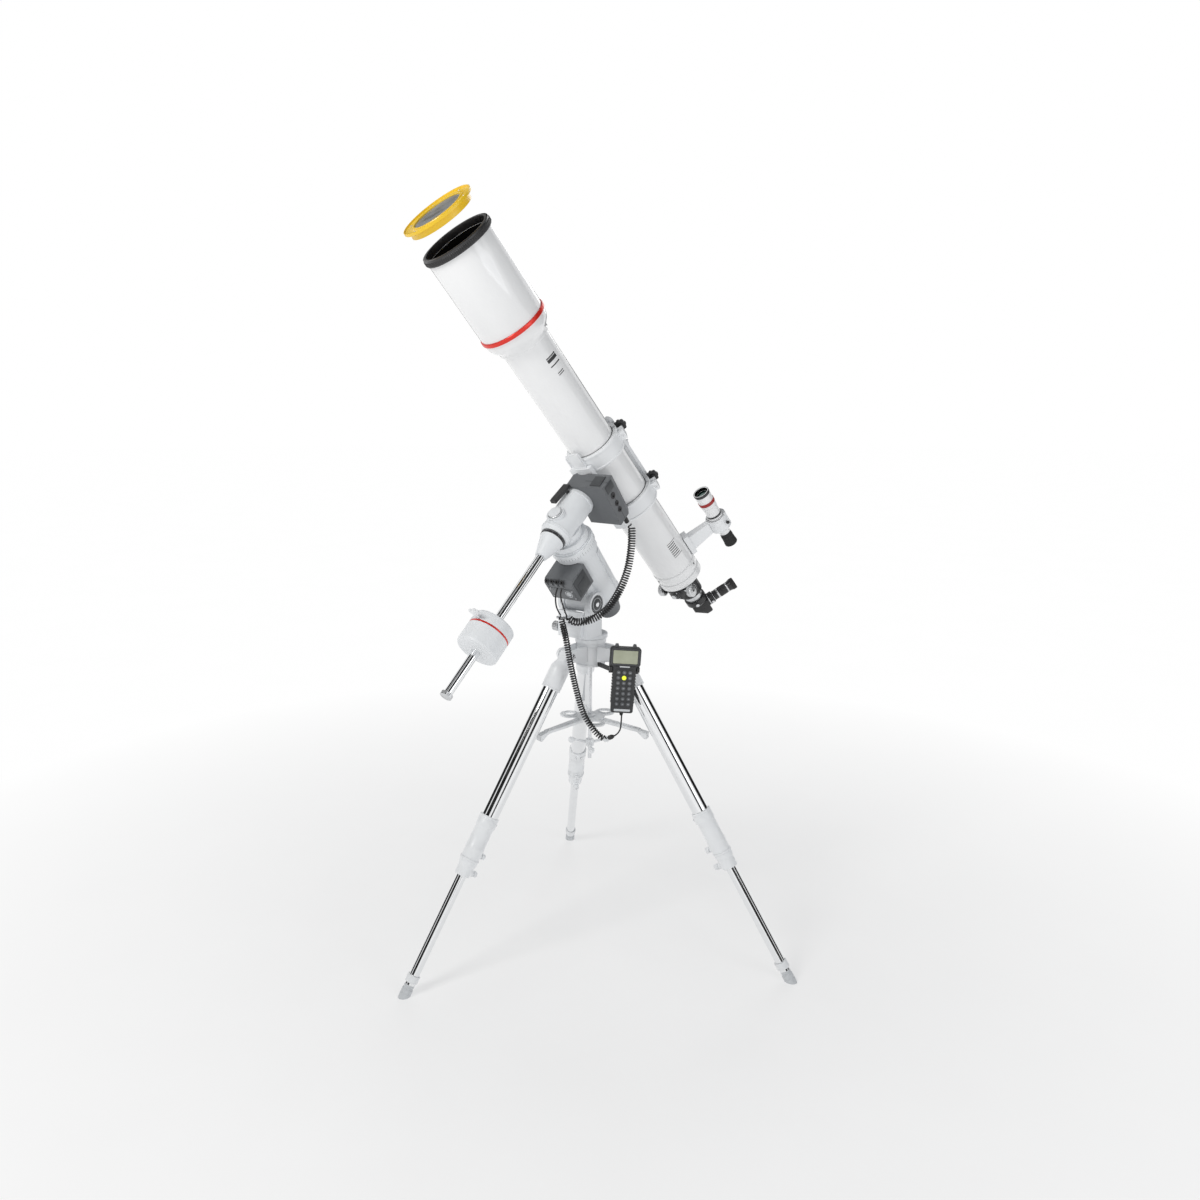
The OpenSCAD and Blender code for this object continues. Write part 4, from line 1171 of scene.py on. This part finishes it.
def make_weight():
    z, h, r = 374, 98, 61.5
    line = 34
    top = lathe([(12.6, z), (r - 7, z), (r - 2.4, z + 1.4), (r - 0.6, z + 3.8), (r, z + 7),
            (r, z + line - 1.5), (r - 1.2, z + line - 1),
                 (12.6, z + line - 1)], 112, True)
    red = lathe([(20, z + line - 1), (r - 0.6, z + line - 1), (r - 0.3, z + line - 0.6),
            (r - 0.3, z + line + 3.6), (r - 0.6, z + line + 4),
                 (20, z + line + 4)], 112, True)
    low = lathe([(12.6, z + line + 4), (r - 1.2, z + line + 4), (r, z + line + 4.5), (r, z + h - 7),
            (r - 0.6, z + h - 3.8), (r - 2.4, z + h - 1.4),
                 (r - 7, z + h), (12.6, z + h)], 112, True)
    boss = [lathe(rounded([(12.6, z - 0.6), (19, z - 0.6), (20, z + 0.6), (12.6, z + 0.6)], 0.3, True), 48,
            True)]
    put("counterweight_body", [top, red, low] + boss, DEC, [CAST, RED, CAST, MACHINED], "weight",
            32, ("counterweight",))
    m = turned(DEC, (0, 0, z + 30), -90, "X")
    stem = lathe(rounded([(0, 14), (5, 14), (5, 78), (0, 78)], 0.6), 28)
    hub = lathe(rounded([(0, 76), (8, 76), (8.6, 80), (7, 93), (0, 95)], 1.2), 36)
    wings = []
    for s in (-1, 1):
        out = [(s * 5, 80), (s * 13, 79), (s * 17, 83), (s * 17, 91), (s * 14, 95), (s * 10, 94),
                (s * 5, 90)]
        wings.append(moved(prism(out, -3.4, 3.4, 1.6, 3), UPRIGHT))
    for w in wings:
        bmesh.ops.recalc_face_normals(w, faces=w.faces)
    put("weight_wing_screw", [stem, hub] + wings, m, [STEEL, CASTWHITE, CASTWHITE, CASTWHITE],
            "weight_screw", 36,
        ("cw_screw",))
    end = [knurl(17, 611, 623, 30, 0.6, 1.0)]
    shaft = round_bar(12.5, 75, 612, 64)
    put("weight_shaft", [shaft] + end, DEC, [CHROME, MACHINED], "dec_body", 36,
            ("cw_shaft",))


def make_fork_details():
    bolts = []
    for x in (-14, 26):
        bolts += [along(knurl(6.6, 0, 8, 18, 0.5, 0.8), (0, -1, 0), (x, -97.4, 1012)),
                  along(round_bar(3.4, 0, -3, 6), (0, -1, 0), (x, -105.6, 1012))]
    plate = [moved(prism(corner_box((-36, 36), (1008, 1042), 5), 106, 107.2, 0.4, 2), UPRIGHT)]
    kinds = [SATIN, STEEL] * 2 + [CAST]
    put("fork_front_bolts", bolts + plate, GROUND, kinds, "fork", 36)
    base = lathe(rounded([(45, 981), (50, 981), (52, 984), (52, 994), (50, 996.4), (45, 996.4)], 0.8, True),
            80, True)
    put("azimuth_base_ring", base, GROUND, CAST, "fork", 34)


# ---------------------------------------------------------------- tripod
LEG_LEN = 1094.9


def make_leg(i):
    m = LEGS[i]
    foot = -LEG_LEN
    word = f"leg_{i + 1}"
    body = f"leg_{i + 1}"
    ear = moved(lathe(rounded([(0, -19), (15, -19), (15, 19), (0, 19)], 1.6), 48), UPRIGHT)
    neck = loft([(-2, 14, 19, 6), (-22, 15, 19, 7), (-34, 24, 24, 20), (-44, 29.4, 29.4, 29),
            (-52, 30, 30, 30)])
    cup = lathe([(25.5, -52), (30, -52), (30, -104), (29.4, -106), (29.4, -108), (30, -109.5), (30, -112),
            (29, -113), (25.5, -113)], 64, True)
    tube = lathe([(23.8, -46), (25.4, -46), (25.4, -562), (23.8, -562)], 64, True)
    clamp = lathe([(25.45, -528.5), (29, -528.5), (30, -530), (30, -535), (29.2, -536), (29.2, -540),
            (29.8, -541), (29.8, -560), (28.2, -565),
                   (27.6, -566), (27.6, -622), (28.6, -624), (28.6, -636), (27.6, -638), (27.6, -679),
                (26, -684), (24.4, -686),
                   (24, -688), (24, -712), (23.2, -716), (15.3, -716), (15.3, -700), (15.3, -566),
                (25.45, -562)], 64, True)
    bosses = []
    for t in (648, 704):
        bosses.append(along(lathe(rounded([(4.1, 14), (9.6, 14), (9.6, 31.4), (8.6, 32.4), (4.1, 32.4)],
                0.5, True), 36), (-1, 0, 0), (0, 0, -t)))
    band = hoop(27.4, 29.2, -662, -668, 0.6, 64)
    lug = box((-31, -24), (-7, 7), (-560, -534), 1.6, 2)
    bolt = [along(knurl(4.4, 0, 4, 10, 0.3, 0.6), (0, s, 0), (-28, 7 * s, -547)) for s in (-1, 1)]
    put(word + "_top_casting", [ear, neck, cup], m, CASTWHITE, body, 38)
    put(word + "_polished_tube", tube, m, CHROME, body, 38, (word + "_upper",))
    put(word + "_clamp_casting", [clamp, band, lug] + bosses + bolt, m, [CASTWHITE] * 5 + [STEEL] * 2, body,
            38)
    low = lathe([(13.5, -646), (15, -646), (15, foot + 37), (13.5, foot + 37)], 56, True)
    stop = hoop(14.9, 19, foot + 44, foot + 66, 1.2, 56)
    put(word + "_lower_tube", [low, stop], m, [CHROME, CASTWHITE], body + "_foot", 38,
            (word + "_lower",))
    # the foot: a rubber boot, cut level with the ground
    boot = lathe([(0, foot + 37), (14.6, foot + 37), (15.4, foot + 35), (15.4, foot + 30),
            (14.2, foot + 28.6), (14.2, foot + 26),
                  (16.8, foot + 23), (17, foot + 14), (16.2, foot + 12.8), (16.2, foot + 10),
                (17, foot + 9), (17, foot + 4),
                  (16, foot - 12), (0, foot - 12)], 48)
    boot.transform(m)
    cut = bmesh.ops.bisect_plane(boot, geom=boot.verts[:] + boot.edges[:] + boot.faces[:],
            plane_co=(0, 0, 0.0001), plane_no=(0, 0, 1), clear_inner=True)
    edges = [e for e in cut["geom_cut"] if isinstance(e, bmesh.types.BMEdge)]
    bmesh.ops.contextual_create(boot, geom=edges)
    bmesh.ops.recalc_face_normals(boot, faces=boot.faces)
    put(word + "_boot", boot, Matrix.Identity(4), PALE, body + "_foot", 38)
    screws = []
    for t in (648, 704):
        screws += [along(round_bar(4, 15.4, 35, 24), (-1, 0, 0), (0, 0, -t)),
                   along(prism(lobes(9.6, 1.6, 5, 10, 0.8), 34, 46, 1.0, 2), (-1, 0, 0), (0, 0, -t)),
                   along(disc(4.6, 45.6, 47, 0.6, 24), (-1, 0, 0), (0, 0, -t))]
    put(word + "_clamp_screws", screws, m, [STEEL, CASTWHITE, STEEL] * 2, body + "_lock", 38,
            (word + "_locks",))


def loft(sections, n=8):
    """a body through round-cornered rectangles: (height, half width x, half width y, corner radius)"""
    bm = bmesh.new()
    rows = []
    for z, hx, hy, r in sections:
        rows.append([bm.verts.new((x, y, z)) for x, y in corner_box((-hx, hx), (-hy, hy),
                min(r, hx - 0.01, hy - 0.01), n)])
    for a, b in zip(rows, rows[1:]):
        for k in range(len(a)):
            m = (k + 1) % len(a)
            bm.faces.new((a[k], a[m], b[m], b[k]))
    bm.faces.new(list(reversed(rows[0])))
    bm.faces.new(rows[-1])
    bmesh.ops.recalc_face_normals(bm, faces=bm.faces)
    return bm


def make_tripod_details():
    base = Matrix.Translation((SHIFT.x * MM, SHIFT.y * MM, 0)) @ Matrix.Scale(MM, 4)
    rings = [hoop(42.8, 45, a, b, 0.7, 80) for a, b in ((896, 902), (950, 956))]
    put("head_bands", rings, base, CASTWHITE, "tripod", 38)
    bolts = []
    for i in range(3):
        y = LEGS[i].to_3x3().col[1].normalized()
        c = base.inverted() @ LEGS[i].translation
        for s in (-1, 1):
            q = c + y * s * 33.2
            bolts += [along(lathe(rounded([(0, -3), (9.6, -3), (9.6, 0), (7.4, 0.6), (7.4, 3.4), (0, 3.6)],
                0.5), 24), y * s, q)]
    put("head_hinge_bolts", bolts, base, STEEL, "tripod", 38)
    rims = []
    kinds = []
    for i in range(3):
        d = LEGS[i].translation - base.translation
        a = math.atan2(d.y, d.x)
        t = a + math.radians(68)
        rims.append(shifted(hoop(18.1, 21.6, 728, 731, 0.7, 56), 66 * math.cos(t), 66 * math.sin(t), 0))
        kinds.append(CASTWHITE)
        # a rib along the top of each arm
        rib = loft([(0, 2.6, 3.4, 1.4), (120, 2.2, 2.4, 1.2)], 4)
        p0 = Vector((40 * math.cos(a), 40 * math.sin(a), 725.0))
        p1 = Vector((156 * math.cos(a), 156 * math.sin(a), 711.6))
        rib.transform(Matrix.Scale((p1 - p0).length / 120, 4, (0, 0, 1)))
        rims.append(along(rib, p1 - p0, p0))
        kinds.append(CASTWHITE)
        pad = Vector((189 * math.cos(a), 189 * math.sin(a), 692))
        rims.append(along(box((-8, 8), (-9, 9), (-1.6, 0.4), 0.8, 2), (math.cos(a), math.sin(a), 0), pad))
        kinds.append(RUBBER)
    hub = lathe(rounded([(6.4, 728), (15, 728), (17, 730), (17, 733), (6.4, 735)], 0.8, True), 48, True)
    put("tray_details", rims + [hub], base, kinds + [CASTWHITE], "spreader", 38)
    star, kinds = [], []
    for t in (-48, 72, 192):
        a = math.radians(t)
        d = Vector((math.cos(a), math.sin(a), 0))
        star.append(along(lathe(rounded([(0, 9), (4.8, 9), (4.0, 46), (4.4, 56), (0, 56)], 0.6), 24), d,
                (0, 0, 640)))
        ball = lathe([(0, -10), (2.6, -9.8), (5.4, -8.6), (7.8, -6.4), (9.4, -3.4), (10.1, 0), (9.6, 3.6),
                (8, 6.4), (5.4, 8.6), (2.8, 9.7), (0, 10)], 32)
        star.append(along(ball, d, tuple(d * 64 + Vector((0, 0, 638)))))
        kinds += [CASTWHITE, CASTWHITE]
    hub = lathe([(6.3, 629.6), (12, 629.6), (13.4, 631), (13.4, 649), (12, 652), (8, 653), (6.3, 653)], 48,
            True)
    put("star_nut_shell", star + [hub], base, kinds + [CASTWHITE], "star_nut", 40,
            ("star_knob",))


# ---------------------------------------------------------------- handset
def make_handset():
    head = loft_z([(-13, 40, 56, 6), (-10, 45, 59, 10), (4, 46, 60, 10), (8, 43, 57, 9)], (0, 70))
    grip = loft_y([(-100, 30, -11, 7), (-97, 33, -12, 8), (-60, 34, -12, 8), (-20, 32.6, -12, 8),
            (20, 34, -12, 8), (44, 36, -12, 8)])
    horns = []
    for s in (-1, 1):
        horns.append(shifted(moved(loft([(0, 6, 6.4, 3), (6, 5.4, 5.6, 3), (9.6, 4, 4, 2.4)], 4),
                Matrix.Rotation(math.radians(-90), 4, "X")), s * 26, 98.6, -2))
    bezel = prism(corner_box((-41, 41), (47, 95), 5), 7.2, 9.2, 0.7, 2)
    glass = prism(corner_box((-36.5, 36.5), (51, 91), 2.4), 8.8, 9.8, 0.3, 1)
    frame_ = []
    for x, y in (((-38, -36), (50, 92)), ((36, 38), (50, 92)), ((-38, 38), (49.4, 51)),
            ((-38, 38), (91, 92.6))):
        frame_.append(box(x, y, (8.8, 10.4), 0.3, 1))
    plate = prism(corner_box((-27.5, 27.5), (-84, 36), 8), 7.4, 8.9, 0.5, 2)
    ridges = []
    for s in (-1, 1):
        for k in range(11):
            ridges.append(box((s * 34.2 - 1.0, s * 34.2 + 1.0), (-70 + 9 * k, -66 + 9 * k), (-8, 4), 0.6,
                2))
    strip = prism(corner_box((-24, 24), (-95, -88), 2.4), 7.6, 8.8, 0.3, 1)
    mark = prism(corner_box((-15, 15), (39.5, 43), 1.2), 7.8, 8.4, 0.1, 1)
    back = box((-22, 22), (-60, 20), (-13.2, -11.6), 0.6, 2)
    relief = moved(lathe([(0, 0), (6, 0), (5.4, 4), (6, 6), (4.6, 8), (5, 10), (3.4, 12), (0, 12)], 32),
            UPRIGHT)
    relief = shifted(relief, 0, -98, -2)
    put("handset_case", [head, grip] + horns + [bezel, glass] + frame_ + [plate] + ridges + [strip, mark,
            back, relief], HAND,
        [HANDPLASTIC, HANDPLASTIC] + [HANDTRIM] * 2 + [HANDTRIM,
        LCD] + [HANDPLASTIC] * 4 + [HANDPLASTIC] + [RUBBER] * 22 +
        [PALE, PALE, HANDTRIM, RUBBER], "handset", 38, ("handset_shell",))
    keys, kinds = [], []
    for row in range(7):
        for col in (-1, 0, 1):
            lit = row == 1 and col == 0
            r = 5.6 if not lit else 6.6
            key = shifted(lathe([(0, 8.6), (r - 0.6, 8.6), (r, 9), (r, 10.2), (r - 0.9, 11), (0, 11.3)],
                28), col * 17, 24 - 16 * row, 0)
            keys.append(key)
            kinds.append(LIT if lit else KEY)
            if not lit:
                w = 2.4 if (row + col) % 2 else 1.8
                keys.append(shifted(box((-w, w), (-0.5, 0.5), (11.0, 11.35), 0.1, 1), col * 17,
                24 - 16 * row, 0))
                kinds.append(PALE)
    put("handset_key_tops", keys, HAND, kinds, "keypad", 38, ("handset_keys",))


def loft_z(sections, centre, n=6):
    """round-cornered rectangles across z, about a centre: (z, half x, half y low, corner)"""
    bm = bmesh.new()
    rows = []
    for z, hx, hy, r in sections:
        rows.append([bm.verts.new((x, y, z)) for x, y in corner_box((centre[0] - hx, centre[0] + hx),
                                                                    (centre[1] - hy / 2,
                centre[1] + hy / 2), r, n)])
    for a, b in zip(rows, rows[1:]):
        for k in range(len(a)):
            m = (k + 1) % len(a)
            bm.faces.new((a[k], a[m], b[m], b[k]))
    bm.faces.new(list(reversed(rows[0])))
    bm.faces.new(rows[-1])
    bmesh.ops.recalc_face_normals(bm, faces=bm.faces)
    return bm


def loft_y(sections, n=6):
    """a grip through round-cornered sections along y: (y, half x, z low, z high)"""
    bm = bmesh.new()
    rows = []
    for y, hx, z0, z1 in sections:
        rows.append([bm.verts.new((x, y, z)) for x, z in corner_box((-hx, hx), (z0, z1), 5, n)])
    for a, b in zip(rows, rows[1:]):
        for k in range(len(a)):
            m = (k + 1) % len(a)
            bm.faces.new((a[k], a[m], b[m], b[k]))
    bm.faces.new(list(reversed(rows[0])))
    bm.faces.new(rows[-1])
    bmesh.ops.recalc_face_normals(bm, faces=bm.faces)
    return bm


MARK_TURN = -8  # where the printed marks sit round the tube
SOCKET_LIFT = 8.6
make_dew_shield()
make_filter()
make_tube_marks()
make_rings()
make_focuser()
make_diagonal()
make_finder()
make_motor_details()
make_axis_details()
make_weight()
make_fork_details()
for leg in range(3):
    make_leg(leg)
make_tripod_details()
make_handset()

bpy.context.view_layer.update()
